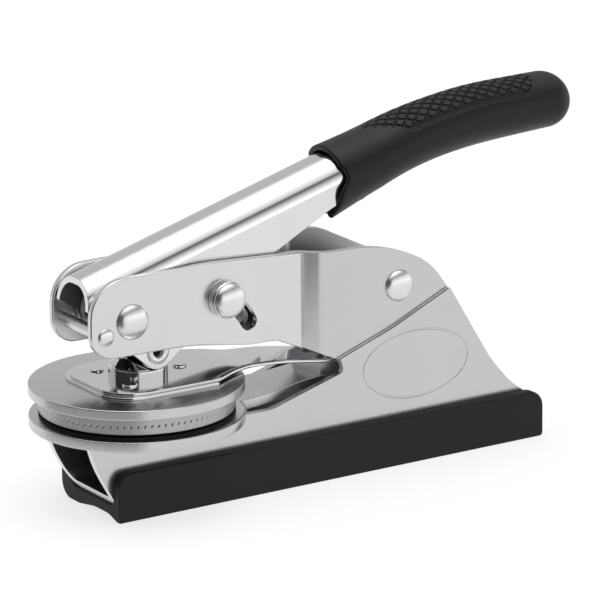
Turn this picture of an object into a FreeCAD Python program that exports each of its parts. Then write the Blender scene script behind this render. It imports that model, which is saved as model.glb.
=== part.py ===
import FreeCAD, Part
import math
import os
import re
from types import SimpleNamespace
from FreeCAD import Placement, Rotation, Vector

# Desk seal embosser: a pressed steel frame in a rubber shoe, two die plates at the front,
# and a hand lever whose roller presses a button on the upper plate.
# Millimetres. +X runs from the dies to the grip, +Z is up, Y = 0 is the middle plane.
# Heights are above the desk. Lengths along X start at the front end of the shoe, and every
# piece is then moved so that the origin lies under the middle of the whole machine.

SIZES = {
    # rubber shoe
    "shoe_length": 132.4,
    "shoe_wall": 2.8,
    "shoe_height": 13.0,
    "shoe_floor": 4.0,
    "shoe_arch": 1.3,
    "shoe_foot": 1.6,
    "shoe_rivet_dia": 4.0,
    "shoe_rivet_inset": 30.0,
    "shoe_front_round": 4.0,
    "shoe_rear_round": 4.6,
    # pressed frame
    "frame_width": 24.0,
    "frame_sheet": 2.0,
    "bend_radius": 6.0,
    "near_bend": 2.4,
    "seat_height": 21.4,
    "cheek_inset": 1.2,
    "arm_width": 12.0,
    "arm_step": 59.5,
    "frame_overhang": 6.9,
    "fit_gap": 0.05,
    # die stack, from the frame's seat upwards
    "die_place": 14.5,
    "button_place": 15.0,
    "plate_dia": 56.0,
    "die_dia": 51.0,
    "lower_plate": 2.75,
    "counter_die": 0.45,
    "die_gap": 0.78,
    "die_height": 4.5,
    "upper_plate": 2.6,
    "strip_sheet": 0.75,
    "strip_width": 34.0,
    "tongue_width": 17.2,
    "tongue_rise": 2.2,
    "leaf_sheet": 1.0,
    "leaf_gap": 0.8,
    "throat_place": 70.6,
    # pivot, link plates and their cross pieces
    "pivot_place": 7.4,
    "pivot_dia": 6.0,
    "pivot_head": 9.3,
    "pivot_dome": 2.2,
    "link_width": 21.6,
    "link_sheet": 2.0,
    "stop_place": 7.8,
    "stop_drop": 2.9,
    "stop_dia": 2.4,
    "sleeve_dia": 3.5,
    "stop_head": 4.6,
    "stop_dome": 0.9,
    "rear_rivet_place": 88.6,
    "rear_rivet_drop": 3.4,
    "rear_rivet_dia": 5.0,
    "rear_rivet_head": 8.6,
    "rear_rivet_dome": 2.0,
    "washer_dia": 11.0,
    # lever: folded channel, roller and grip
    "handle_width": 16.2,
    "handle_sheet": 1.6,
    "handle_round": 6.8,
    "handle_slope": 15.94,
    "crest_rise": 13.83,
    "tang_end": 94.0,
    "roller_reach": 9.0,
    "roller_drop": 10.1,
    "roller_dia": 9.4,
    "roller_pin_dia": 6.4,
    "roller_pin_bore": 3.0,
    "lobe_radius": 4.6,
    "roller_gap": 0.1,
    "button_dia": 15.5,
    "button_height": 2.62,
    "button_cone": 2.0,
    "grip_end": 149.2,
    "grip_length": 74.8,
    "grip_tip": 7.4,
    "grip_wall": 1.6,
    "grip_drop": 7.7,
    "grip_recess": 6.0,
    # stop stud in the curved slots of the link plates
    "slot_radius": 18.9,
    "stud_dia": 4.0,
    "collar_dia": 9.8,
    "collar_height": 2.6,
    "stud_head": 9.1,
    "stud_dome": 2.2,
    # springs
    "wire_dia": 1.1,
    "coil_radius": 4.6,
}
S = SimpleNamespace(**SIZES)

doc = FreeCAD.newDocument("Embosser")
sheet = doc.addObject("Spreadsheet::Sheet", "Sizes")
for row, (alias, value) in enumerate(SIZES.items(), start=1):
    sheet.set(f"A{row}", alias)
    sheet.set(f"B{row}", str(value))
    sheet.setAlias(f"B{row}", alias)
doc.recompute()

# Places worked out from the sizes, as formulas for the sheet. A name used by another comes later.
FORMULA = {
    "middle": "(die_place - plate_dia / 2 + grip_end) / 2",
    "roller_place": "pivot_place + roller_reach",
    "rear_rivet_height": "pivot_height - rear_rivet_drop",
    "roller_height": "pivot_height - roller_drop",
    "pivot_height": "strip_top + button_height + roller_gap + roller_dia / 2 + roller_drop",
    "strip_top": "strip_base + 2 * strip_sheet",
    "strip_base": "plate_base + upper_plate",
    "plate_base": "die_base + die_height",
    "die_base": "counter_top + die_gap",
    "counter_top": "lower_top + counter_die",
    "lower_top": "seat_height + lower_plate",
}
FRAME_HALF = S.frame_width / 2
CHEEK_HALF = FRAME_HALF - S.cheek_inset
ARM_HALF = S.arm_width / 2
LINK_HALF = S.link_width / 2
LINK_INNER = LINK_HALF - S.link_sheet
LEG_HALF = S.handle_width / 2
LEG_INNER = LEG_HALF - S.handle_sheet
LOWER_TOP = S.seat_height + S.lower_plate
DIE_BASE = LOWER_TOP + S.counter_die + S.die_gap
PLATE_BASE = DIE_BASE + S.die_height
STRIP_BASE = PLATE_BASE + S.upper_plate
STRIP_TOP = STRIP_BASE + 2 * S.strip_sheet
SEAT_FLOOR = STRIP_TOP + S.button_height
ROLLER_X = S.pivot_place + S.roller_reach
ROLLER_Z = SEAT_FLOOR + S.roller_gap + S.roller_dia / 2
S.pivot_height = ROLLER_Z + S.roller_drop
SLOPE = math.radians(S.handle_slope)


def bind(thing, prop, formula):
    """Ties a property to the sheet. Words in the formula are aliases, or names in FORMULA."""
    text = formula
    for name, meaning in FORMULA.items():
        text = re.sub(rf"\b{name}\b", f"({meaning})", text)
    text = re.sub(r"[a-z]+(?:_[a-z]+)*", lambda m: f"Sizes.{m.group()}", text)
    thing.setExpression(prop, text)


def place(thing, base, rotation=None):
    """Turns a piece and ties its place to three formulas."""
    thing.Placement = Placement(Vector(), rotation or Rotation())
    for axis, formula in zip("xyz", base):
        bind(thing, f"Placement.Base.{axis}", formula)
    return thing


PLANES = {
    "XY": (Rotation(), Vector(0, 0, 1)),
    "XZ": (Rotation(Vector(1, 0, 0), 90), Vector(0, 1, 0)),
    "YZ": (Rotation(Vector(0, 1, 0), Vector(0, 0, 1), Vector(1, 0, 0), "XYZ"), Vector(1, 0, 0)),
}


def round_corner(before, corner, after, radius):
    """Start, middle and end of the arc that rounds a corner between two neighbours."""
    into = (before - corner).normalize()
    out = (after - corner).normalize()
    half = into.getAngle(out) / 2
    reach = radius / math.tan(half)
    centre = corner + (into + out).normalize() * (radius / math.sin(half))
    middle = centre + (corner - centre).normalize() * radius
    return corner + into * reach, middle, corner + out * reach


def outline_edges(points):
    """Lines and arcs round a closed outline of (x, y) or (x, y, corner radius) points."""
    corners = [Vector(p[0], p[1], 0) for p in points]
    count = len(points)
    stops = []
    for index, point in enumerate(points):
        if len(point) == 3 and point[2] > 0:
            stops.append(
                round_corner(corners[index - 1], corners[index], corners[(index + 1) % count], point[2])
            )
        else:
            stops.append((corners[index],))
    edges = []
    for index, stop in enumerate(stops):
        if len(stop) == 3:
            edges.append(Part.Arc(*stop))
        following = stops[(index + 1) % count][0]
        if stop[-1].distanceToPoint(following) > 1e-6:
            edges.append(Part.LineSegment(stop[-1], following))
    return edges


def sketch(name, plane, edges, start="0", holes=()):
    """A drawing on one of the main planes, moved along the plane's normal by a formula."""
    drawing = doc.addObject("Sketcher::SketchObject", name + "_sketch")
    for edge in edges:
        drawing.addGeometry(edge, False)
    for x, y, radius in holes:
        drawing.addGeometry(Part.Circle(Vector(x, y, 0), Vector(0, 0, 1), radius), False)
    base = {"XY": ("0", "0", start), "XZ": ("0", start, "0"), "YZ": (start, "0", "0")}[plane]
    return place(drawing, base, PLANES[plane][0])


def prism(name, plane, points, start, length, holes=()):
    """An outline pushed along the plane's normal."""
    solid = doc.addObject("Part::Extrusion", name)
    solid.Base = sketch(name, plane, outline_edges(points), start, holes)
    solid.DirMode = "Custom"
    solid.Dir = PLANES[plane][1]
    solid.Solid = True
    bind(solid, "LengthFwd", length)
    return solid


def turned(name, axis, edges, base):
    """A half section, drawn as (radius, distance along the axis), turned about Y or Z."""
    drawing = doc.addObject("Sketcher::SketchObject", name + "_sketch")
    for edge in edges:
        drawing.addGeometry(edge, False)
    place(drawing, base, PLANES["XY"][0] if axis == "Y" else PLANES["XZ"][0])
    solid = doc.addObject("Part::Revolution", name)
    solid.Source = drawing
    solid.Axis = Vector(0, 1, 0) if axis == "Y" else Vector(0, 0, 1)
    for letter, formula in zip("xyz", base):
        bind(solid, f"Base.{letter}", formula)
    solid.Angle = 360
    solid.Solid = True
    return solid


def cylinder(name, axis, diameter, length, base):
    """A round bar from its base point along Y or Z."""
    bar = doc.addObject("Part::Cylinder", name)
    bind(bar, "Radius", f"({diameter}) / 2")
    bind(bar, "Height", length)
    turn = Rotation(Vector(1, 0, 0), -90) if axis == "Y" else Rotation()
    return place(bar, base, turn)


def cross_bar(name, diameter, half, x, z):
    """A round bar along Y, as far each side of the middle plane."""
    return cylinder(name, "Y", diameter, f"2 * ({half})", (x, f"-({half})", z))


def fuse(name, pieces):
    """Several solids joined into one, with the seams between flush faces taken out."""
    joined = doc.addObject("Part::MultiFuse", name)
    joined.Shapes = pieces
    joined.Refine = True
    return joined


def cut(name, base, tools):
    """A solid with others taken out of it."""
    tool = tools[0] if len(tools) == 1 else group(name + "_tools", tools)
    result = doc.addObject("Part::Cut", name)
    result.Base = base
    result.Tool = tool
    return result


def common(name, first, second):
    """What two solids share."""
    shared = doc.addObject("Part::Common", name)
    shared.Base = first
    shared.Tool = second
    return shared


def group(name, pieces):
    """Separate solids kept as one node."""
    together = doc.addObject("Part::Compound", name)
    together.Links = pieces
    return together


def mirrored(name, source):
    """The same piece on the other side of the middle plane."""
    twin = doc.addObject("Part::Mirroring", name)
    twin.Source = source
    twin.Normal = Vector(0, 1, 0)
    return twin


def dome_edges(radius, height, shank, half):
    """Half section of a rivet: a shank of this radius and a domed head outside each side."""
    ball = (radius**2 + height**2) / (2 * height)
    turn = math.asin(radius / ball) / 2
    side = ball * math.sin(turn)
    rise = half + height - ball + ball * math.cos(turn)
    top, bottom = half + height, -half - height
    return [
        Part.LineSegment(Vector(0, bottom, 0), Vector(0, top, 0)),
        Part.Arc(Vector(0, top, 0), Vector(side, rise, 0), Vector(radius, half, 0)),
        Part.LineSegment(Vector(radius, half, 0), Vector(shank, half, 0)),
        Part.LineSegment(Vector(shank, half, 0), Vector(shank, -half, 0)),
        Part.LineSegment(Vector(shank, -half, 0), Vector(radius, -half, 0)),
        Part.Arc(Vector(radius, -half, 0), Vector(side, -rise, 0), Vector(0, bottom, 0)),
    ]


def rivet(name, head, shank, half, dome, x, z):
    """A cross rivet with a domed head on each side."""
    return turned(name, "Y", dome_edges(head / 2, dome, shank / 2, half), (x, "0", z))


def box(name, length, width, height, base):
    """A block from its lowest corner."""
    block = doc.addObject("Part::Box", name)
    bind(block, "Length", length)
    bind(block, "Width", width)
    bind(block, "Height", height)
    return place(block, base)


NODES = []


def node(name, piece):
    """Names a finished piece and moves it so that the origin lies under the machine's middle."""
    piece.Label = name
    bind(piece, "Placement.Base.x", "-middle")
    NODES.append(piece)
    return piece


# --- Rubber shoe: a long trough that the frame stands in, open at both ends ---------------


def shoe_section():
    """Cross-section of the trough. Its underside is arched between a square near foot and a
    softly rounded far one."""
    inner = FRAME_HALF + S.fit_gap
    outer = inner + S.shoe_wall
    foot = outer - S.shoe_foot
    return [
        (-outer, 0, 0.3),
        (-foot, 0),
        (-foot + 4.2, S.shoe_arch, 8.0),
        (-2.0, S.shoe_arch, 12.0),
        (6.0, 0, 1.0),
        (outer, 0, 4.4),
        (outer, S.shoe_height, 0.8),
        (inner, S.shoe_height),
        (inner, S.shoe_floor, S.bend_radius),
        (-inner, S.shoe_floor, S.near_bend),
        (-inner, S.shoe_height),
        (-outer, S.shoe_height, 0.8),
    ]


shoe_bar = prism("shoe_bar", "YZ", shoe_section(), "0", "shoe_length")
shoe_side = prism(
    "shoe_side",
    "XZ",
    [
        (0, 0),
        (S.shoe_length, 0, 1.0),
        (S.shoe_length, S.shoe_height, S.shoe_rear_round),
        (0, S.shoe_height, S.shoe_front_round),
    ],
    "-frame_width",
    "2 * frame_width",
)
SHOE_RIVETS_X = (S.shoe_rivet_inset, S.shoe_length - S.shoe_rivet_inset)
SHOE_RIVET = S.shoe_rivet_dia
shoe_bores = [
    cylinder(f"shoe_bore_{i}", "Z", f"{SHOE_RIVET}", "shoe_height", (f"{x}", "0", "-1"))
    for i, x in enumerate(SHOE_RIVETS_X)
]
shoe_sinks = [
    cylinder(f"shoe_sink_{i}", "Z", f"2 * {SHOE_RIVET}", "shoe_arch + 1.3", (f"{x}", "0", "0"))
    for i, x in enumerate(SHOE_RIVETS_X)
]
node("base_shoe", cut("base_shoe", common("shoe_body", shoe_bar, shoe_side), shoe_bores + shoe_sinks))

# --- Frame: one U-shaped pressing. Low cheeks carry the dies, the raised rear cheeks step in
# along a slanting crease, and arms run forward from them, inside the lever, to the pivot ---

HEEL = S.shoe_length - 0.4
THROAT = S.throat_place
CREASE_REAR = (104.2, 45.2)
CREASE_FRONT = (THROAT - 1.2, S.seat_height + 9.9)


def channel_section():
    """Cross-section of the U: outside face, bends and inside face."""
    inner = FRAME_HALF - S.frame_sheet
    base = S.shoe_floor + S.fit_gap
    top = S.pivot_height
    return [
        (-FRAME_HALF, base, S.near_bend),
        (FRAME_HALF, base, S.bend_radius),
        (FRAME_HALF, top),
        (inner, top),
        (inner, base + S.frame_sheet, S.bend_radius - S.frame_sheet),
        (-inner, base + S.frame_sheet, S.near_bend - S.frame_sheet),
        (-inner, top),
        (-FRAME_HALF, top),
    ]


def low_cheek_outline():
    """Side view of the low part: raking front edge, flat seat, throat, crease and swept heel."""
    base = S.shoe_floor + S.fit_gap
    return [
        (0.9, base),
        (-4.9, S.seat_height - 6.8, 40),
        (-S.frame_overhang, S.seat_height),
        (THROAT - 22.4, S.seat_height, 8),
        (THROAT, S.seat_height + 6.4, 1.5),
        CREASE_FRONT,
        (86.0, 37.1, 60),
        CREASE_REAR,
        (117.3, 23.4, 30),
        (124.0, 15.6, 25),
        (HEEL - 0.2, 10.2, 2),
        (HEEL, base),
    ]


def high_cheek_plan():
    """Plan of the far upper sheet: arm, inward step and rear cheek, one sheet thick."""
    arm_in = ARM_HALF - S.frame_sheet
    rear_in = CHEEK_HALF - S.frame_sheet
    bend = S.frame_sheet + 1.5
    return [
        (-10, ARM_HALF),
        (S.arm_step, ARM_HALF, bend),
        (S.arm_step + 6.0, CHEEK_HALF, bend + 2),
        (120, CHEEK_HALF),
        (120, rear_in),
        (S.arm_step + 6.9, rear_in, bend),
        (S.arm_step + 0.9, arm_in, bend + 2),
        (-10, arm_in),
    ]


def high_cheek_outline(crown):
    """Side view of arm and rear cheek together. The crown is the rear cheek's top line."""
    arm_top = S.pivot_height + 5.5
    arm_low = S.pivot_height - 5.5
    return [
        (S.pivot_place - 5.5, arm_top, 5.4),
        (30.0, arm_top + 1.6, 60),
        *((x, S.pivot_height + rise, corner) for x, rise, corner in crown),
        CREASE_REAR,
        (103.0, 43.0),
        (86.0, 35.4, 60),
        (THROAT + 0.4, S.seat_height + 8.4),
        (THROAT - 1.3, S.seat_height + 9.7),
        (58.5, S.pivot_height - 15.6, 6),
        (50.0, S.pivot_height - 12.4, 12),
        (36.0, S.pivot_height - 8.2, 8),
        (26.5, S.pivot_height - 1.8, 6),
        (S.pivot_place + 5.6, S.pivot_height - 1.8, 2),
        (S.pivot_place + 2.5, arm_low, 2.5),
        (S.pivot_place - 5.5, arm_low, 5.4),
    ]


NEAR_CROWN = ((57.0, 9.2, 30), (84.0, 8.6, 45), (98.5, 1.7, 20))
FAR_CROWN = ((57.0, 9.2, 30), (75.2, 10.7, 14), (97.0, -0.4, 12))
SLOT_CENTRE = (S.pivot_place + 18.2, S.pivot_height - 14.7)
SLOT_TOP = 64.6
SLOT_END = 29.0


def slot_cutter(name, half, start, length):
    """A curved slot: everything within half of the stud's path."""
    cx, cz = SLOT_CENTRE

    def at(radius, angle):
        turn = math.radians(angle)
        return Vector(cx + radius * math.cos(turn), cz + radius * math.sin(turn), 0)

    inner, outer, middle = S.slot_radius - half, S.slot_radius + half, (SLOT_TOP + SLOT_END) / 2
    cap = math.degrees(half / S.slot_radius)
    edges = [
        Part.Arc(at(outer, SLOT_TOP), at(outer, middle), at(outer, SLOT_END)),
        Part.Arc(at(outer, SLOT_END), at(S.slot_radius, SLOT_END - cap), at(inner, SLOT_END)),
        Part.Arc(at(inner, SLOT_END), at(inner, middle), at(inner, SLOT_TOP)),
        Part.Arc(at(inner, SLOT_TOP), at(S.slot_radius, SLOT_TOP + cap), at(outer, SLOT_TOP)),
    ]
    slot = doc.addObject("Part::Extrusion", name)
    slot.Base = sketch(name, "XZ", edges, start)
    slot.DirMode = "Custom"
    slot.Dir = Vector(0, 1, 0)
    slot.Solid = True
    bind(slot, "LengthFwd", length)
    return slot


EMBLEM = SimpleNamespace(x=92.9, z=26.4, long_half=16.9, short_half=9.4, line=0.5, depth=0.25)


def emblem_ring(name, side):
    """A shallow oval groove on one outer face of the frame, round a bare field."""
    start = side * (FRAME_HALF - EMBLEM.depth)
    rings = []
    for label, grow in (("outer", 0), ("inner", -EMBLEM.line)):
        oval = doc.addObject("Part::Ellipse", f"{name}_{label}_oval")
        oval.MajorRadius = EMBLEM.long_half + grow
        oval.MinorRadius = EMBLEM.short_half + grow
        place(oval, (f"{EMBLEM.x}", f"{start}", f"{EMBLEM.z}"), PLANES["XZ"][0])
        disc = doc.addObject("Part::Extrusion", f"{name}_{label}")
        disc.Base = oval
        disc.DirMode = "Custom"
        disc.Dir = Vector(0, side, 0)
        disc.Solid = True
        disc.LengthFwd = 2 * EMBLEM.depth
        rings.append(disc)
    return cut(name, rings[0], [rings[1]])


low_frame = common(
    "low_frame",
    prism("frame_channel", "YZ", channel_section(), "-3 * bend_radius", "shoe_length + 3 * bend_radius"),
    prism("frame_side", "XZ", low_cheek_outline(), "-frame_width", "2 * frame_width"),
)
cheek_plan = prism("cheek_plan", "XY", high_cheek_plan(), "seat_height", "pivot_height")
far_side = prism("far_cheek_side", "XZ", high_cheek_outline(FAR_CROWN), "0", "frame_width")
near_side = prism("near_cheek_side", "XZ", high_cheek_outline(NEAR_CROWN), "-frame_width", "frame_width")
far_cheek = common("far_cheek", cheek_plan, far_side)
near_cheek = common("near_cheek", mirrored("near_cheek_plan", cheek_plan), near_side)
frame_shell = fuse("frame_shell", [low_frame, far_cheek, near_cheek])
frame_tools = [
    cross_bar("frame_pivot_bore", "pivot_dia", "frame_width", "pivot_place", "pivot_height"),
    cross_bar("frame_rear_bore", "rear_rivet_dia", "frame_width", "rear_rivet_place", "rear_rivet_height"),
    slot_cutter("arm_slots", S.stud_dia / 2 + 0.5, "-frame_width / 3", "frame_width * 2 / 3"),
    emblem_ring("near_emblem", -1),
    emblem_ring("far_emblem", 1),
]
frame_tools += [
    cylinder(f"frame_shoe_bore_{i}", "Z", f"{SHOE_RIVET}", "shoe_height", (f"{x}", "0", "0"))
    for i, x in enumerate(SHOE_RIVETS_X)
]
node("press_frame", cut("press_frame", frame_shell, frame_tools))


def shoe_rivet(index, x):
    """A flat-headed rivet up through the shoe's floor and the frame's web."""
    low = S.shoe_arch + 0.3
    top = S.shoe_floor + S.fit_gap + S.frame_sheet
    profile = [
        (0, low),
        (SHOE_RIVET * 0.95, low),
        (SHOE_RIVET * 0.95, S.shoe_arch + 1.3),
        (SHOE_RIVET / 2, S.shoe_arch + 1.3),
        (SHOE_RIVET / 2, top),
        (SHOE_RIVET * 0.8, top),
        (SHOE_RIVET * 0.8, top + 1.1, 0.7),
        (0, top + 1.1),
    ]
    return turned(f"shoe_rivet_{index}", "Z", outline_edges(profile), (f"{x}", "0", "0"))


node("shoe_rivets", group("shoe_rivets", [shoe_rivet(i, x) for i, x in enumerate(SHOE_RIVETS_X)]))

# --- Lower die: plate with a tongue back into the throat, on a block between the cheeks ---

SEAT_BLOCK = SimpleNamespace(front=4.0, rear=25.0, height=6.0)
PLATE_RIVETS_X = (S.die_place - 6.0, S.die_place + 6.0)
PLATE_RIVET = 4.0

seat_block = box(
    "seat_block_body",
    f"{SEAT_BLOCK.rear - SEAT_BLOCK.front}",
    "frame_width - 2 * frame_sheet",
    f"{SEAT_BLOCK.height}",
    (f"{SEAT_BLOCK.front}", "-(frame_width / 2 - frame_sheet)", f"seat_height - {SEAT_BLOCK.height}"),
)
plate_bores = [
    cylinder(f"plate_bore_{i}", "Z", f"{PLATE_RIVET}", "seat_height", (f"{x}", "0", "seat_height - 10"))
    for i, x in enumerate(PLATE_RIVETS_X)
]
node("seat_block", cut("seat_block", seat_block, plate_bores))

CLAMP_FRONT = THROAT - 4.4
CLAMP_REAR = THROAT + 2.4
LEAF_HALF = CHEEK_HALF - S.frame_sheet - S.leaf_gap
CLAMP_HALF = LEAF_HALF - 1.0
CLAMP_RIVET = 3.0
CLAMP_RIVETS_Y = (-3.6, 3.6)
CLAMP_X = (CLAMP_FRONT + CLAMP_REAR) / 2


def tongue_plan():
    """Plan of the tongue: wide beside the die, narrowed inside the throat."""
    half = S.tongue_width / 2
    return [
        (S.die_place, -half),
        (THROAT - 20.0, -half, 12),
        (THROAT - 11.0, -CLAMP_HALF, 12),
        (CLAMP_REAR, -CLAMP_HALF, 1),
        (CLAMP_REAR, CLAMP_HALF, 1),
        (THROAT - 11.0, CLAMP_HALF, 12),
        (THROAT - 20.0, half, 12),
        (S.die_place, half),
    ]


TONGUE_TOP = LOWER_TOP + S.tongue_rise


def tongue_profile():
    """Side view of the tongue: level behind the die, then rising gently to the clamp."""
    level = S.seat_height
    high = level + S.tongue_rise
    points = [(S.die_place, level), (42.0, level, 40), (CLAMP_FRONT - 1.0, high, 20), (CLAMP_REAR, high)]
    return points + [(x, z + S.lower_plate, *r) for x, z, *r in reversed(points)]


def clamp_bores(name, base):
    """Holes for the two rivets that clamp both springs' rear ends."""
    return [
        cylinder(f"{name}_{i}", "Z", f"{CLAMP_RIVET}", "2 * seat_height", (f"{CLAMP_X}", f"{y}", base))
        for i, y in enumerate(CLAMP_RIVETS_Y)
    ]


def disc(name, diameter, height, base, edge):
    """A round plate with softened edges, on the die axis."""
    radius = diameter / 2
    profile = [(0, 0), (radius, 0, edge), (radius, height, edge), (0, height)]
    return turned(name, "Z", outline_edges(profile), ("die_place", "0", base))


lower_disc = disc("lower_disc", S.plate_dia, S.lower_plate, "seat_height", 0.3)
tongue = common(
    "tongue",
    prism("tongue_plan", "XY", tongue_plan(), "seat_height", "2 * lower_plate"),
    prism("tongue_side", "XZ", tongue_profile(), "-frame_width", "2 * frame_width"),
)
plate_holes = [
    cylinder(f"lower_plate_bore_{i}", "Z", f"{PLATE_RIVET}", "seat_height", (f"{x}", "0", "seat_height - 1"))
    for i, x in enumerate(PLATE_RIVETS_X)
]
node(
    "lower_die_plate",
    cut(
        "lower_die_plate",
        fuse("lower_plate_body", [lower_disc, tongue]),
        plate_holes + clamp_bores("tongue_bore", "0"),
    ),
)
node(
    "plate_rivets",
    group(
        "plate_rivets",
        [
            cylinder(
                f"plate_rivet_{i}",
                "Z",
                f"{PLATE_RIVET}",
                f"lower_plate + {SEAT_BLOCK.height}",
                (f"{x}", "0", f"seat_height - {SEAT_BLOCK.height}"),
            )
            for i, x in enumerate(PLATE_RIVETS_X)
        ],
    ),
)
node("counter_die", disc("counter_die", S.die_dia, S.counter_die, "lower_top", 0.1))

# --- Upper die: everything that the button pushes down --------------------------------------

BUTTON_STUD = 5.0
STUD_LOW = DIE_BASE + 1.5
STUD_HIGH = SEAT_FLOOR - 1.0
STRIP_RIVET = 2.4
STRIP_RIVETS = ((-7.3, 8.3), (-7.3, -8.3), (12.4, 0.0))
STRIP_FRONT = S.die_place - 15.7
STRIP_REAR = S.die_place + 15.7


def stud_bore(name):
    """Hole for the stud that ties button, strips, plate and die together."""
    base = ("button_place", "0", f"{STUD_LOW}")
    return cylinder(name, "Z", f"{BUTTON_STUD}", f"{STUD_HIGH - STUD_LOW}", base)


def strip_bores(name, base, height):
    """Holes for the small rivets of the strips."""
    return [
        cylinder(f"{name}_{i}", "Z", f"{STRIP_RIVET}", height, (f"button_place + {x}", f"{y}", base))
        for i, (x, y) in enumerate(STRIP_RIVETS)
    ]


def strip_plan(half, rear):
    """Plan of a strip: broad rounded front and straight sides."""
    return [
        (STRIP_FRONT + (S.strip_width / 2 - half), -half, 10),
        (rear, -half),
        (rear, half),
        (STRIP_FRONT + (S.strip_width / 2 - half), half, 10),
    ]


node(
    "upper_die",
    cut("upper_die", disc("die_body", S.die_dia, S.die_height, "die_base", 0.15), [stud_bore("die_bore")]),
)
node(
    "upper_die_plate",
    cut(
        "upper_die_plate",
        disc("upper_disc", S.plate_dia, S.upper_plate, "plate_base", 0.3),
        [stud_bore("plate_stud_bore")] + strip_bores("plate_strip_bore", "plate_base", "2 * upper_plate"),
    ),
)
for label, half, rear, level in (
    ("lower_strip", S.strip_width / 2, STRIP_REAR - 1.0, "strip_base"),
    ("upper_strip", S.strip_width / 2 - 1.0, STRIP_REAR, "strip_base + strip_sheet"),
):
    strip = prism(f"{label}_body", "XY", strip_plan(half, rear), level, "strip_sheet")
    bores = strip_bores(f"{label}_bore", level, "strip_sheet")
    node(label, cut(label, strip, [stud_bore(f"{label}_stud_bore")] + bores))


def strip_rivet(index, x, y):
    """A small rivet with a low domed head on top of the strips."""
    head, rise = STRIP_RIVET * 0.8, 0.55
    foot = S.upper_plate
    profile = [
        (0, -foot - 2 * S.strip_sheet),
        (STRIP_RIVET / 2, -foot - 2 * S.strip_sheet),
        (STRIP_RIVET / 2, 0),
        (head, 0),
        (head, rise, 0.4),
        (0, rise),
    ]
    base = (f"button_place + {x}", f"{y}", "strip_top")
    return turned(f"strip_rivet_{index}", "Z", outline_edges(profile), base)


node(
    "strip_rivets",
    group("strip_rivets", [strip_rivet(i, x, y) for i, (x, y) in enumerate(STRIP_RIVETS)]),
)
node("button_stud", group("button_stud", [stud_bore("stud_bar")]))


def button_profile():
    """Half section of the button: round body, small shoulder and a blunt cone on top."""
    radius = S.button_dia / 2
    return [
        (0, STRIP_TOP),
        (radius, STRIP_TOP),
        (radius, SEAT_FLOOR, 0.3),
        (radius - 0.5, SEAT_FLOOR + 0.2),
        (radius * 0.45, SEAT_FLOOR + S.button_cone, 0.5),
        (0, SEAT_FLOOR + S.button_cone),
    ]


# The roller's seat is cut across the cone and is open to the rear, where the roller swings.
SEAT_REACH = S.roller_reach * 0.1
seat_front = ROLLER_X - SEAT_REACH
seat_cut = prism(
    "seat_cut",
    "XZ",
    [
        (seat_front - S.roller_dia / 2 - 0.15, SEAT_FLOOR, S.roller_dia / 2),
        (seat_front + S.button_dia, SEAT_FLOOR),
        (seat_front + S.button_dia, SEAT_FLOOR + S.roller_dia),
        (seat_front - S.roller_dia / 2 - 0.15, SEAT_FLOOR + S.roller_dia),
    ],
    "-button_dia",
    "2 * button_dia",
)
button_body = turned("button_body", "Z", outline_edges(button_profile()), ("button_place", "0", "0"))
node("pressure_button", cut("pressure_button", button_body, [seat_cut, stud_bore("button_bore")]))

# --- Leaf spring: joins the strips to the clamp block in the throat -------------------------

LEAF_TOP = STRIP_TOP
LEAF_DROP = 3.35
LEAF_REAR = LEAF_TOP - LEAF_DROP


def leaf_profile():
    """Side view of the leaf: level behind the strips, falling in a long curve to the clamp."""
    points = [
        (STRIP_REAR, LEAF_TOP),
        (STRIP_REAR + 3.0, LEAF_TOP, 15),
        (STRIP_REAR + 14.3, LEAF_TOP - 0.42, 60),
        (STRIP_REAR + 24.8, LEAF_TOP - 1.28, 60),
        (CLAMP_FRONT - 0.2, LEAF_REAR, 12),
        (CLAMP_REAR, LEAF_REAR),
    ]
    return points + [(x, z - S.leaf_sheet, *r) for x, z, *r in reversed(points)]


def leaf_plan():
    """Plan of the leaf: as wide as the strips in front, tapered to pass between the cheeks."""
    front = S.strip_width / 2 - 1.0
    plan = [
        (STRIP_REAR, front),
        (STRIP_REAR + 5.4, front - 3.4, 8),
        (STRIP_REAR + 15.0, LEAF_HALF, 20),
        (CLAMP_REAR + 1.0, LEAF_HALF),
    ]
    return plan + [(x, -y, *r) for x, y, *r in reversed(plan)]


leaf = common(
    "leaf_body",
    prism("leaf_side", "XZ", leaf_profile(), "-strip_width", "2 * strip_width"),
    prism("leaf_plan", "XY", leaf_plan(), "0", "pivot_height"),
)
node("leaf_spring", cut("leaf_spring", leaf, clamp_bores("leaf_bore", "0")))

clamp_height = LEAF_REAR - S.leaf_sheet - TONGUE_TOP
clamp = box(
    "clamp_body",
    f"{CLAMP_REAR - CLAMP_FRONT}",
    f"{2 * CLAMP_HALF}",
    f"{clamp_height}",
    (f"{CLAMP_FRONT}", f"{-CLAMP_HALF}", "lower_top + tongue_rise"),
)
node("leaf_clamp_block", cut("leaf_clamp_block", clamp, clamp_bores("clamp_bore", "0")))


def clamp_rivet(index, y):
    """A rivet down through leaf, clamp block and tongue."""
    head, rise = CLAMP_RIVET * 0.8, 0.9
    foot = S.seat_height + S.tongue_rise - LEAF_REAR
    profile = [
        (0, foot),
        (CLAMP_RIVET / 2, foot),
        (CLAMP_RIVET / 2, 0),
        (head, 0),
        (head, rise, 0.6),
        (0, rise),
    ]
    return turned(
        f"clamp_rivet_{index}", "Z", outline_edges(profile), (f"{CLAMP_X}", f"{y}", f"{LEAF_REAR}")
    )


node("clamp_rivets", group("clamp_rivets", [clamp_rivet(i, y) for i, y in enumerate(CLAMP_RIVETS_Y)]))

# --- Link plates: they carry the pivot outside the lever and guide the stop stud ------------


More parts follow.
